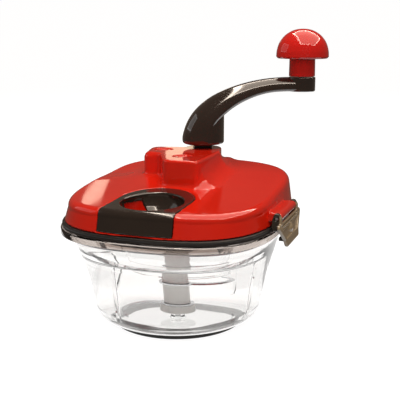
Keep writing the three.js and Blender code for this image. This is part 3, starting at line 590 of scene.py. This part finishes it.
def lid_f(x, y, z):
    a, b = lid_ab(x, y, z)
    body = r_inter(a, b, 5.4)
    p = poly_sdf(x, y, PLAN)
    house = r_inter(p, z - HOUSING_TOP, edge_radius(x, y, z))
    r = flare(x, y, z)
    out = r_union(body, house, r)
    hollow = r_union(r_inter(a + WALL, b + WALL, 4.5), np.maximum(poly_sdf(x, y, PLAN_IN), z - (HOUSING_TOP - WALL)), 0.8)
    # bosses that stand inside the housing
    keep = np.minimum(np.maximum(cyl(x, y, 0, CRANK_Y, 10.6), 120.5 - z), np.maximum(cyl(x, y, IDLER_X, IDLER_Y, 5.6), 116.5 - z))
    keep = np.minimum(keep, np.maximum(cyl(x, y, 0, 0, 7.2), 109.5 - z))
    for cx, cy in POCKETS:
        keep = np.minimum(keep, np.maximum(cyl(x, y, cx, cy, 10.6), 142.2 - z))
    for cx, cy in SCREWS:
        keep = np.minimum(keep, np.maximum(cyl(x, y, cx, cy, 4.2), 100.6 - z))
    hollow = np.maximum(hollow, -keep)
    s = r_inter(out, -hollow, 0.5)
    s = r_inter(s, LID_Z0 - z, 0.5)
    for cx, cy in POCKETS:
        s = r_inter(s, -np.maximum(cyl(x, y, cx, cy, 8.2), 144.6 - z), 0.7)
    s = r_inter(s, -cyl(x, y, 0, CRANK_Y, 7.9), 0.6)
    s = np.maximum(s, -np.maximum(cyl(x, y, IDLER_X, IDLER_Y, 2.85), z - 141))
    s = np.maximum(s, -np.maximum(cyl(x, y, 0, 0, 4.35), z - 121))
    s = np.maximum(s, -np.maximum(cyl(x, y, IDLER_X, IDLER_Y, 42.4), np.abs(z - 103.6) - 3.6))
    for cx, cy in SCREWS:
        s = np.maximum(s, -np.maximum(cyl(x, y, cx, cy, 1.75), z - 112))
    s = r_inter(s, -np.maximum(u_dist(x, y), 99.1 - z), 0.55)
    # the clip's tab
    tab = np.hypot(np.maximum(x - PIN_X, 0), z - PIN_Z) - 3.8
    tab = r_inter(r_inter(tab, np.abs(y) - 26.5, 0.9), 90.6 - x, 0.3)
    s = r_union(s, tab, 1.0)
    return np.maximum(s, -cyl(x, z, PIN_X, PIN_Z, 1.8))


H_LID = 1.15
net("lid_shell_visual", lid_f, (-96, -99, 96.3), (104.5, 97, 149), H_LID, "red", "lid", ("lid_shell",))

# ------------------------------------------------------------ funnel insert
cup_line = catmull([(0, 103.2), (6, 103.2), (11.2, 103.25), (15.2, 103.9), (18.6, 105.2), (21.4, 107.0), (23.6, 109.4), (25.2, 112.4), (26.2, 115.6), (26.6, 118.0)], 4)


def cup_poly(grow):
    pr = []
    for i, (r, z) in enumerate(cup_line):
        a, b = cup_line[max(i - 1, 0)], cup_line[min(i + 1, len(cup_line) - 1)]
        t = (b - a) / np.linalg.norm(b - a)
        pr.append((r + grow * t[1] if r > 0.1 else -40.0, z - grow * t[0]))
    return pr + [(26.6 + grow, 140), (-40, 140)]


CUP, CUP_OUT = cup_poly(0), cup_poly(2.0)


def insert_f(x, y, z):
    a, b = lid_ab(x, y, z)
    body = r_inter(a, b, 5.4)
    u = np.maximum(u_dist(x, y) + 0.35, 99.45 - z)
    solid = r_inter(body, u, 0.6)
    hollow = r_inter(a + WALL + 0.3, b + WALL + 0.3, 4.3)
    rho = np.hypot(x + 0.4, y + 57.5)
    cup_solid = np.maximum(poly_sdf(rho, z, CUP_OUT), solid)
    s = np.minimum(np.maximum(solid, -hollow), cup_solid)
    s = r_inter(s, -poly_sdf(rho, z, CUP), 1.3)
    hole = np.maximum(np.maximum(cyl(x, y, -19.5, -47.8, 10.6), rho - 27.4), z - 117.2)
    return r_inter(s, -hole, 0.6)


H_INS = 0.8
net("funnel_insert_visual", insert_f, (-35.5, -99, 97.8), (34, -13, 127), H_INS, "insert", "lid", ("funnel_insert",))


def chute_f(x, y, z):
    """Upper edge of the red chute round the drain, fitted to the underside of cup and insert."""
    a, b = lid_ab(x, y, z)
    s = np.maximum(cyl(x, y, -19.5, -47.8, 12.5), -cyl(x, y, -19.5, -47.8, 11.0))
    s = np.maximum(s, 106.0 - z)
    s = np.maximum(s, 0.3 - poly_sdf(np.hypot(x + 0.4, y + 57.5), z, CUP_OUT))
    return np.maximum(s, b + WALL + 0.7)


net("drain_chute_edge", chute_f, (-33, -62, 105.2), (-6, -34, 120), 0.7, "red", "lid", ())


# --------------------------------------------------------------------- clip
X1, LEAN = 103.4, 0.165
PLATE = rounded([(-37.5, 102.2, 2), (-39.2, 99.5, 1.5), (-24.5, 86.6, 2), (-21.5, 80.3, 3.5), (21.5, 80.3, 3.5), (24.5, 86.6, 2), (39.2, 99.5, 1.5), (37.5, 102.2, 2)], 15)
SUNK = rounded([(-32.0, 97.6, 1), (-20.6, 87.4, 1.5), (20.6, 87.4, 1.5), (32.0, 97.6, 1)], 20)
CHEEK = rounded([(95.0, 95.6, 3.2), (103.2, 95.6, 0), (103.2, 106.6, 1.6), (100.6, 110.6, 1.8), (97.2, 110.6, 1.4), (95.0, 104.6, 2.4)], 20)


def clip_f(x, y, z):
    xl = x - LEAN * (102 - z)
    flat = poly_sdf(y, z, PLATE)
    plate = r_inter(flat, np.abs(xl - (X1 - 1.4)) - 1.4, 0.8)
    sunk = np.maximum(poly_sdf(y, z, SUNK), (X1 - 1.3) - xl)
    s = r_inter(plate, -sunk, 0.35)
    slot = np.maximum(np.maximum(np.abs(y) - 33.5, np.abs(z - 99.9) - 0.75), (X1 - 1.5) - xl)
    s = r_inter(s, -slot, 0.25)
    # ridge, boss and rib on the sunken face
    ridge = r_inter(np.maximum(np.abs(y) - 27, np.abs(z - 96.0) - 0.8), np.abs(xl - (X1 - 1.4)) - 1.2, 0.5)
    boss = np.sqrt(((xl - (X1 - 1.8)) * 1.5) ** 2 + y ** 2 + (z - 93.2) ** 2) - 4.6
    ribs = r_inter(np.maximum(np.abs(y) - 2.0, np.abs(z - 89.6) - 3.0), np.abs(xl - (X1 - 1.3)) - 1.2, 0.6)
    s = r_union(r_union(r_union(s, ridge, 0.5), boss, 0.8), ribs, 0.5)
    ch = np.maximum(poly_sdf(x, z, CHEEK), np.abs(np.abs(y) - 29.6) - 2.6)
    ch = r_inter(poly_sdf(x, z, CHEEK), np.abs(np.abs(y) - 29.6) - 2.6, 0.6) + 0 * ch
    s = r_union(s, ch, 0.8)
    bar = np.maximum(np.abs(y) - 12, np.abs(z - 84.0) - 1.6)
    bar = r_inter(bar, np.abs(x - 100.25) - 3.75, 0.5)
    s = r_union(s, bar, 0.6)
    return np.maximum(s, -cyl(x, z, PIN_X, PIN_Z, 1.8))


net("rim_clip_visual", clip_f, (93.6, -41, 79), (109, 41, 112), 0.62, "clip", "clip", ("rim_clip",))


def rod_y(name, x, z, r, y0, y1, mat, body, nodes, ch=0.4):
    ys = [(0, y0), (r - ch, y0), (r, y0 + ch), (r, y1 - ch), (r - ch, y1), (0, y1)]
    t = np.linspace(0, 2 * pi, 36, endpoint=False)
    verts, rings = [], []
    for rr, yy in ys:
        if rr == 0:
            verts.append((x, yy, z))
            rings.append([len(verts) - 1] * len(t))
        else:
            rings.append(list(range(len(verts), len(verts) + len(t))))
            verts += [(x + rr * math.cos(q), yy, z + rr * math.sin(q)) for q in t]
    faces = []
    for A, B in zip(rings[:-1], rings[1:]):
        for i in range(len(t)):
            q = [A[i], B[i], B[(i + 1) % len(t)], A[(i + 1) % len(t)]]
            q = [v for a, v in enumerate(q) if v != q[a - 1]]
            faces.append(q)
    return obj_from(name, verts, faces, mat, body, nodes, weighted=True, sharp=35)


rod_y("clip_pin_visual", PIN_X, PIN_Z, PIN_R, -31.2, 31.2, "steel", "lid", ("clip_pin",))

# ------------------------------------------------------- caps, bush, collar
for nm, (cx, cy) in zip(("idler_cap", "housing_cap"), POCKETS):
    lathe(nm + "_visual", fillet_line([(0, 144.95), (7.8, 144.95, 0, 0.3), (7.8, 145.6, 0, 0.3), (7.2, 145.95, 0, 0.4), (4.0, 146.05, 0, 0.5), (3.4, 145.7, 0, 0.4), (0, 145.65)], 18),
          "red", "lid", (nm,), segs=72, at=(cx, cy))
lathe("crank_bush_visual", fillet_line([
    (4.4, 118.8, 0, 0.3), (7.5, 118.8, 0, 0.4), (7.5, 147.15, 0, 0.4), (8.7, 147.15, 0, 0.4), (8.7, 150.05, 0, 0.4), (4.4, 150.05, 0, 0.3)], 20, True),
    "satin", "lid", ("crank_bush",), segs=72, closed=True, at=(0, CRANK_Y))
lathe("splash_collar_visual", fillet_line([
    (43.2, 56.0, 0, 0.7), (45.0, 56.0, 0, 0.7), (47.4, 97.45, 0, 0.3), (45.4, 97.45, 0, 0.3)], 20, True),
    "collar", "lid", ("splash_collar",), segs=176, closed=True)
lathe("spindle_bush_visual", fillet_line([
    (9.3, 93.2, 0, 0.4), (13.6, 93.2, 0, 0.2), (13.6, 93.32, 0, 0), (11.65, 93.32, 0, 0), (11.65, 100.1, 0, 0.3), (9.3, 100.1, 0, 0.3)], 20, True),
    "white", "lid", ("spindle_bush",), segs=72, closed=True)

# --------------------------------------------------------------------- knob
cap = [(3.4, 231.55, 0, 0.2), (23.2, 231.55, 0, 1.3), (24.9, 233.2, 0, 1.2)]
dome = catmull([(24.9, 233.2), (24.7, 237.2), (24.0, 240.9), (22.6, 245.2), (20.0, 249.6), (16.0, 253.8), (10.4, 257.2), (5.0, 258.8), (0, 259.2)], 5)
line = fillet_line(cap + [(24.7, 237.2, 0, 0)], 12)[:-1] + [(r, z, 0) for r, z in dome[5:]]
line += [(0, 240.0, 0), (5.2, 240.0, 0), (5.2, 235.4, 0), (3.4, 235.4, 0)]
lathe("knob_cap_visual", line, "knob", "knob", ("knob_cap",), segs=128, closed=True, at=(KX, KY), sharp=55)
lathe("knob_stem_visual", fillet_line([
    (3.3, 214.8, 0, 0.3), (12.0, 214.8, 0, 0.4), (12.4, 215.3, 0, 0.5), (12.2, 230.9, 0, 0.4), (3.3, 231.2, 0, 0.3)], 20, True),
    "knob", "knob", ("knob_stem",), segs=96, closed=True, at=(KX, KY))

# ------------------------------------------------------------- crank handle
KEYS = [  # outer point x, z, inner point x, z, half width
    (-17.2, 150.6, 6.6, 150.6, 17.2), (-19.2, 151.5, 8.2, 151.5, 19.1), (-20.1, 153.6, 9.0, 153.6, 19.9), (-20.0, 157.5, 9.3, 157.5, 20.0),
    (-18.9, 162.2, 9.9, 162.4, 19.8), (-16.8, 168.4, 11.6, 168.0, 19.4), (-13.5, 175.0, 15.0, 173.5, 18.8),
    (-8.5, 182.1, 20.0, 178.4, 17.6), (-1.0, 189.4, 25.5, 183.0, 16.0), (9.0, 196.4, 31.5, 187.1, 14.4), (20.9, 202.2, 38.0, 190.8, 13.2),
    (33.0, 206.6, 46.0, 194.4, 12.2), (46.0, 210.1, 55.0, 197.5, 11.4), (60.0, 212.6, 66.0, 199.8, 10.9), (75.0, 213.9, 78.0, 200.6, 10.9),
    (88.0, 214.1, 89.0, 200.7, 11.4), (96.0, 214.1, 96.0, 200.7, 11.6)]
stations = catmull(KEYS, 7)
verts, faces, k = [], [], 72
ph = np.linspace(0, 2 * pi, k, endpoint=False)
for ox, oz, ix, iz, w in stations:
    o, i = np.array([ox, oz]), np.array([ix, iz])
    mid = i + 0.27 * (o - i)
    for q in ph:
        c, s = math.cos(q), math.sin(q)
        e = 2.15 if c > 0 else 3.0
        f = 1 / (abs(c) ** e + abs(s) ** e) ** (1 / e)
        p = mid + (o - mid) * c * f if c > 0 else mid + (mid - i) * c * f
        verts.append((p[0], w * s * f, p[1]))
n = len(stations)
for a in range(n - 1):
    for b in range(k):
        faces.append([a * k + b, a * k + (b + 1) % k, (a + 1) * k + (b + 1) % k, (a + 1) * k + b])
faces.append(list(range(k))[::-1])
faces.append([(n - 1) * k + b for b in range(k)])


def temp_mesh(name, verts, faces):
    me = bpy.data.meshes.new(name)
    me.from_pydata([tuple(v) for v in verts], [], faces)
    bm = bmesh.new()
    bm.from_mesh(me)
    bmesh.ops.recalc_face_normals(bm, faces=bm.faces)
    if bm.calc_volume(signed=True) < 0:
        bmesh.ops.reverse_faces(bm, faces=bm.faces)
    bm.to_mesh(me)
    bm.free()
    ob = bpy.data.objects.new(name, me)
    bpy.context.scene.collection.objects.link(ob)
    return ob


def temp_lathe(name, line, segs, at=(0, 0)):
    t = np.linspace(0, 2 * pi, segs, endpoint=False)
    verts, rings, faces = [], [], []
    for row in line:
        w, z = row[0], row[1]
        if w < 1e-6:
            verts.append((at[0], at[1], z))
            rings.append([len(verts) - 1] * segs)
        else:
            rings.append(list(range(len(verts), len(verts) + segs)))
            verts += [(at[0] + w * math.cos(a), at[1] + w * math.sin(a), z) for a in t]
    for A, B in zip(rings[:-1], rings[1:]):
        for i in range(segs):
            q = [A[i], A[(i + 1) % segs], B[(i + 1) % segs], B[i]]
            q = [v for a, v in enumerate(q) if v != q[a - 1]]
            if len(q) >= 3:
                faces.append(q)
    return temp_mesh(name, verts, faces)


def hub_mesh():
    """Round hub whose top slopes up into the arm."""
    line = fillet_line([(0, 150.75), (19.85, 150.75, 0, 2.6), (19.85, 160, 0, 0)], 12)
    t = np.linspace(0, 2 * pi, 96, endpoint=False)
    rows = [[(0.35 + w * math.cos(a), w * math.sin(a), z) for a in t] for w, z, *_ in line if w > 1e-6]
    top = lambda x: max(153.8, 165.2 + 0.72 * x)
    rows.append([(0.35 + 19.85 * math.cos(a), 19.85 * math.sin(a), top(0.35 + 19.85 * math.cos(a)) - 0.6) for a in t])
    rows.append([(0.35 + 19.25 * math.cos(a), 19.25 * math.sin(a), top(0.35 + 19.25 * math.cos(a))) for a in t])
    rows.pop(-3)
    vs = [q for r in rows for q in r]
    fs = [list(range(96))[::-1], [(len(rows) - 1) * 96 + i for i in range(96)]]
    for j in range(len(rows) - 1):
        for i in range(96):
            fs.append([j * 96 + i, j * 96 + (i + 1) % 96, (j + 1) * 96 + (i + 1) % 96, (j + 1) * 96 + i])
    return temp_mesh("hub_tmp", vs, fs)


arm = temp_mesh("arm_tmp", verts, faces)
tools = [
    ("UNION", hub_mesh()),
    ("UNION", temp_lathe("end_tmp", fillet_line([(0, 200.6), (12.9, 200.6, 0, 1.2), (12.9, 214.2, 0, 0.9), (0, 214.2)], 15), 84, (THROW, 0))),
    ("DIFFERENCE", temp_lathe("bore_tmp", [(0, 145), (4.3, 145), (4.3, 172), (0, 172)], 40)),
    ("DIFFERENCE", temp_lathe("pin_tmp", [(0, 203.5), (3.3, 203.5), (3.3, 220), (0, 220)], 32, (THROW, 0))),
]
for i, (kind, tool) in enumerate(tools):
    m = arm.modifiers.new(f"b{i}", "BOOLEAN")
    m.operation, m.object, m.solver = kind, tool, "EXACT"
bpy.context.view_layer.update()
done = bpy.data.meshes.new_from_object(arm.evaluated_get(bpy.context.evaluated_depsgraph_get()))
for _, tool in tools:
    bpy.data.objects.remove(tool)
bpy.data.objects.remove(arm)
done.transform(Matrix.Scale(MM, 4))
done.transform(Matrix.Translation((0, CRANK_Y * MM, 0)) @ Matrix.Rotation(TURN, 4, "Z"))
done.name = "crank_handle_visual"
done.polygons.foreach_set("use_smooth", np.ones(len(done.polygons), bool))
done.set_sharp_from_angle(angle=math.radians(32))
handle = bpy.data.objects.new("crank_handle_visual", done)
bpy.context.scene.collection.objects.link(handle)
handle.data.materials.clear()
handle.data.materials.append(M["black"])
wn = handle.modifiers.new("normals", "WEIGHTED_NORMAL")
wn.keep_sharp = True
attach(handle, "crank")
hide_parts("crank_handle")

# ------------------------------------------------------------ blade spindle
hexa = 5.6
lathe("blade_spindle_visual", fillet_line([
    (2.9, 13.0, 0, 0.3), (15.5, 13.0, 0, 0.4), (16.0, 13.6, 0, 0.5), (15.2, 20.0, 0, 0.5), (9.5, 20.0, 0, 0.5), (9.5, 63.0, 0, 0.3), (11.2, 63.0, 0, 0.5),
    (11.2, 90.2, 0, 0.8), (10.4, 92.4, 0, 0.5), (4.4, 92.4, 0, 0.2), (4.4, 96.0, 0, 0), (0, 96.0)], 15)
    + [(0, 36.5, 0), (2.9, 36.5, 0)], "white", "spindle", ("blade_spindle",), segs=96, closed=True)
t6 = [pi / 3 * i for i in range(6)]
hv, hf = [], []
for r, z in ((hexa, 92.0), (hexa, 103.6), (hexa - 0.8, 104.4)):
    hv += [(r * math.cos(a), r * math.sin(a), z) for a in t6]
for a in range(2):
    for b in range(6):
        hf.append([a * 6 + b, a * 6 + (b + 1) % 6, (a + 1) * 6 + (b + 1) % 6, (a + 1) * 6 + b])
hf += [[5, 4, 3, 2, 1, 0], [12, 13, 14, 15, 16, 17]]
obj_from("spindle_hex_tip", hv, hf, "white", "spindle", sharp=20)
lathe("blade_spacer_visual", fillet_line([
    (9.95, 21.9, 0, 0.2), (12.2, 21.9, 0, 0.4), (11.6, 24.0, 0, 1), (11.6, 42.0, 0, 1), (12.2, 43.95, 0, 0.4), (9.95, 43.95, 0, 0.2)], 15, True),
    "white", "spindle", ("blade_spacer",), segs=72, closed=True)
lathe("blade_clamp_visual", fillet_line([
    (9.95, 45.85, 0, 0.2), (12.2, 45.85, 0, 0.4), (11.5, 48.0, 0, 1), (11.2, 62.6, 0, 0.5), (9.95, 62.6, 0, 0.2)], 15, True),
    "white", "spindle", ("blade_clamp",), segs=72, closed=True)


def blade(name, z, turn, nodes):
    """One sickle blade on a ring, ground to an edge along its leading side."""
    verts, faces = [], []
    n = 60
    rows = []
    for i in range(n + 1):
        s = i / n
        r, a = 12.2 + 57.6 * s, 0.95 * s * s
        w = (11.5 - 7.5 * s) * (1 if s < 0.93 else max(0.12, math.sqrt(max(0.0, 1 - ((s - 0.93) / 0.07) ** 2))))
        c, d = np.array([r * math.cos(a), r * math.sin(a)]), np.array([math.sin(a + 0.35 * s), -math.cos(a + 0.35 * s)])
        back, edge = c - d * w * 0.5, c + d * w * 0.5
        grind = edge - d * min(2.6, w * 0.6)
        rows.append([(*back, z), (*back, z + 1.2), (*grind, z + 1.2), (*edge, z + 0.12), (*edge, z)])
    ca, sa = math.cos(turn), math.sin(turn)
    for row in rows:
        verts += [(x * ca - y * sa, x * sa + y * ca, q) for x, y, q in row]
    for i in range(n):
        for j in range(5):
            faces.append([i * 5 + j, i * 5 + (j + 1) % 5, (i + 1) * 5 + (j + 1) % 5, (i + 1) * 5 + j])
    faces.append([4, 3, 2, 1, 0])
    faces.append([n * 5 + j for j in range(5)])
    bl = temp_mesh("blade_tmp", verts, faces)
    ring = temp_lathe("ring_tmp", [(0, z - 0.0), (15, z - 0.0), (15, z + 1.2), (0, z + 1.2)], 72)
    hole = temp_lathe("hole_tmp", [(0, z - 3), (9.95, z - 3), (9.95, z + 5), (0, z + 5)], 64)
    for i, (kind, tool) in enumerate((("UNION", ring), ("DIFFERENCE", hole))):
        m = bl.modifiers.new(f"b{i}", "BOOLEAN")
        m.operation, m.object, m.solver = kind, tool, "EXACT"
    bpy.context.view_layer.update()
    me = bpy.data.meshes.new_from_object(bl.evaluated_get(bpy.context.evaluated_depsgraph_get()))
    for o in (bl, ring, hole):
        bpy.data.objects.remove(o)
    me.transform(Matrix.Scale(MM, 4))
    me.polygons.foreach_set("use_smooth", np.ones(len(me.polygons), bool))
    me.set_sharp_from_angle(angle=math.radians(20))
    ob = bpy.data.objects.new(name, me)
    bpy.context.scene.collection.objects.link(ob)
    me.materials.clear()
    me.materials.append(M["blade"])
    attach(ob, "spindle")
    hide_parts(*nodes)
    return ob


blade("lower_blade_visual", 20.35, math.radians(200), ("lower_blade",))
blade("upper_blade_visual", 44.3, math.radians(20), ("upper_blade",))

# ------------------------------------------------- screws and carried nodes
for i, (cx, cy) in enumerate(SCREWS):
    lathe(f"cover_screw_{i + 1}_visual", fillet_line([
        (0, 95.7), (0.9, 95.7, 0, 0.1), (1.0, 95.4, 0, 0.1), (2.4, 95.45, 0, 0.3), (3.2, 96.2, 0, 0.4), (3.2, 97.45, 0, 0.15), (1.4, 97.45, 0, 0.1), (1.4, 110.0, 0, 0.3), (0, 111.2)], 20),
        "steel", "lid", (f"cover_screw_{i + 1}",), segs=40, at=(cx, cy))
for node, mat in {"pivot_pin": "steel", "gear_cover": "red", "idler_axle": "steel", "crank_shaft": "steel", "crank_gear": "white",
                  "knob_pin": "steel", "idler_gear": "white", "spindle_pinion": "white"}.items():
    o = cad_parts[node]
    o.data.materials.clear()
    o.data.materials.append(M[mat])

# ------------------------------------------------------------------- studio
def plane(name, corners, mat, back=False):
    me = bpy.data.meshes.new(name)
    me.from_pydata([tuple(c) for c in corners], [], [[0, 1, 2, 3]])
    uv = me.uv_layers.new(name="UVMap")
    for i, q in enumerate(((0, 0), (1, 0), (1, 1), (0, 1))):
        uv.data[i].uv = q
    me.materials.append(mat)
    ob = bpy.data.objects.new(name, me)
    bpy.context.scene.collection.objects.link(ob)
    return ob


fm, nt, b = new_mat("floor_white")
nt.links.new(blend_colours(nt, noise(nt, coords(nt), 3.0, 2), (0.23, 0.23, 0.23), (0.25, 0.25, 0.25)), b.inputs["Base Color"])
b.inputs["Roughness"].default_value = 0.75
b.inputs["Specular IOR Level"].default_value = 0.1
b.inputs["Emission Color"].default_value = (1, 1, 1, 1)
b.inputs["Emission Strength"].default_value = 0.94
# floor with a backdrop that curves up behind it, all round. The reflections see
# only the floor round the bowl and behind it, as in a studio with a dark room in front.
BACK_AZ = math.radians(21)


def sweep(name, rings, seen, keep=lambda x, y: True):
    n = 96
    verts = [(0, 0, 0)] if rings[0][0] == 0 else []
    base = len(verts)
    rs = rings[1:] if base else rings
    for r, z in rs:
        verts += [(r * math.cos(a), r * math.sin(a), z) for a in np.linspace(0, 2 * pi, n, endpoint=False)]
    faces = [[0, 1 + i, 1 + (i + 1) % n] for i in range(n)] if base else []
    for j in range(len(rs) - 1):
        for i in range(n):
            faces.append([base + j * n + i, base + (j + 1) * n + i, base + (j + 1) * n + (i + 1) % n, base + j * n + (i + 1) % n])
    faces = [f for f in faces if keep(*(sum(verts[i][k] for i in f) / len(f) for k in (0, 1)))]
    me = bpy.data.meshes.new(name)
    me.from_pydata(verts, [], faces)
    me.polygons.foreach_set("use_smooth", np.ones(len(me.polygons), bool))
    me.materials.append(fm)
    ob = bpy.data.objects.new(name, me)
    bpy.context.scene.collection.objects.link(ob)
    ob.visible_glossy = seen
    ob.visible_diffuse = False
    return ob


def behind(x, y):
    return -math.sin(BACK_AZ) * x + math.cos(BACK_AZ) * y > 0


sweep("floor_near", [(0, 0), (0.1, 0), (0.2, 0), (0.26, 0)], True)
sweep("floor_back", [(0.26, 0), (0.32, 0), (0.38, 0)], True, behind)
sweep("floor_far", [(0.38, 0), (1.0, 0), (2.0, 0), (3.0, 0)], False, behind)
sweep("floor_front", [(0.26, 0), (0.5, 0), (1.0, 0), (2.0, 0), (3.0, 0)], False, lambda x, y: not behind(x, y))
sweep("backdrop", [(3.0, 0)] + [(3.0 + 1.5 * math.sin(a), 1.5 - 1.5 * math.cos(a)) for a in np.linspace(0.15, pi / 2, 9)] + [(4.5, 4.2)], False)

world = bpy.data.worlds.new("studio")
bpy.context.scene.world = world
world.use_nodes = True
bg = world.node_tree.nodes["Background"]
bg.inputs["Color"].default_value = (1.0, 0.80, 0.64, 1)
bg.inputs["Strength"].default_value = 0.14


def area(name, loc, target, sx, sy, power, colour=(1, 1, 1), glossy=False):
    li = bpy.data.lights.new(name, "AREA")
    li.shape, li.size, li.size_y = "RECTANGLE", sx, sy
    li.energy, li.color = power, colour
    ob = bpy.data.objects.new(name, li)
    bpy.context.scene.collection.objects.link(ob)
    ob.location = loc
    ob.rotation_mode = "QUATERNION"
    ob.rotation_quaternion = (Vector(target) - Vector(loc)).to_track_quat("-Z", "Y")
    ob.visible_glossy = glossy
    ob.visible_transmission = False
    return ob


area("fill_top", (0.1, -0.3, 1.9), (0, 0, 0.08), 2.0, 2.0, 39)
area("fill_front", (0.9, -1.7, 0.9), (0, 0, 0.1), 1.4, 1.2, 12)
area("fill_left", (-1.8, -0.9, 0.9), (0, 0, 0.1), 1.2, 1.2, 1)


def softbox(name, centre, u, v, inside, border, edge=0.06, colour=(1.0, 0.98, 0.96)):
    """A lit panel with a brighter frame, seen only as a reflection."""
    m = bpy.data.materials.new(name)
    m.use_nodes = True
    nt = m.node_tree
    nt.nodes.clear()
    out = nt.nodes.new("ShaderNodeOutputMaterial")
    em = nt.nodes.new("ShaderNodeEmission")
    em.inputs["Color"].default_value = (*colour, 1)
    uv = nt.nodes.new("ShaderNodeUVMap")
    sep = nt.nodes.new("ShaderNodeSeparateXYZ")
    nt.links.new(uv.outputs["UV"], sep.inputs[0])
    parts = []
    for ch in (0, 1):
        a = nt.nodes.new("ShaderNodeMath")
        a.operation = "SUBTRACT"
        nt.links.new(sep.outputs[ch], a.inputs[0])
        a.inputs[1].default_value = 0.5
        c = nt.nodes.new("ShaderNodeMath")
        c.operation = "ABSOLUTE"
        nt.links.new(a.outputs[0], c.inputs[0])
        parts.append(c.outputs[0])
    mx = nt.nodes.new("ShaderNodeMath")
    mx.operation = "MAXIMUM"
    nt.links.new(parts[0], mx.inputs[0])
    nt.links.new(parts[1], mx.inputs[1])
    nt.links.new(remap(nt, mx.outputs[0], 0.5 - edge, 0.5 - edge * 0.8, inside, border), em.inputs["Strength"])
    nt.links.new(em.outputs[0], out.inputs["Surface"])
    c, u, v = Vector(centre), Vector(u) / 2, Vector(v) / 2
    ob = plane(name, [c - u - v, c + u - v, c + u + v, c - u + v], m)
    ob.visible_camera = False
    ob.visible_diffuse = False
    ob.visible_transmission = False
    ob.visible_shadow = False
    return ob


AZ = math.radians(21)
RIGHT, BACK, UP = Vector((math.cos(AZ), math.sin(AZ), 0)), Vector((-math.sin(AZ), math.cos(AZ), 0)), Vector((0, 0, 1))
softbox("box_over", RIGHT * 0.52 + BACK * 0.02 + UP * 1.2, RIGHT * 1.5, BACK * 1.8, 2.5, 15.0, 0.058, (1.0, 0.86, 0.73))
softbox("box_left", -RIGHT * 1.5 + BACK * 0.5 + UP * 0.9, BACK * 1.2, UP * 0.8, 0.6, 1.6)
softbox("box_patch", -RIGHT * 0.367 + BACK * 1.87 + UP * 0.63, RIGHT * 0.085, UP * 0.055, 2.3, 2.5, 0.06, (1.0, 0.76, 0.58))
softbox("box_low", RIGHT * 0.0075 + BACK * 2.0 + UP * 0.447, RIGHT * 0.095, UP * 0.095, 1.7, 1.8, 0.06, (1.0, 0.74, 0.52))

# ------------------------------------------------------------------- camera
cam = bpy.data.cameras.new("camera")
cam.lens, cam.sensor_width = 70.2, 36.0
cam.clip_start, cam.clip_end = 0.05, 30
cam_ob = bpy.data.objects.new("camera", cam)
bpy.context.scene.collection.objects.link(cam_ob)
PITCH, YAW = math.radians(12.4), math.radians(1.69)
fw = BACK * math.cos(YAW) + RIGHT * math.sin(YAW)
F = fw * math.cos(PITCH) - UP * math.sin(PITCH)
cam_ob.location = -BACK * 0.685 + UP * 0.2593
cam_ob.rotation_mode = "QUATERNION"
cam_ob.rotation_quaternion = F.to_track_quat("-Z", "Y")
bpy.context.scene.camera = cam_ob
bpy.context.scene.view_settings.view_transform = "Standard"

bpy.context.view_layer.update()
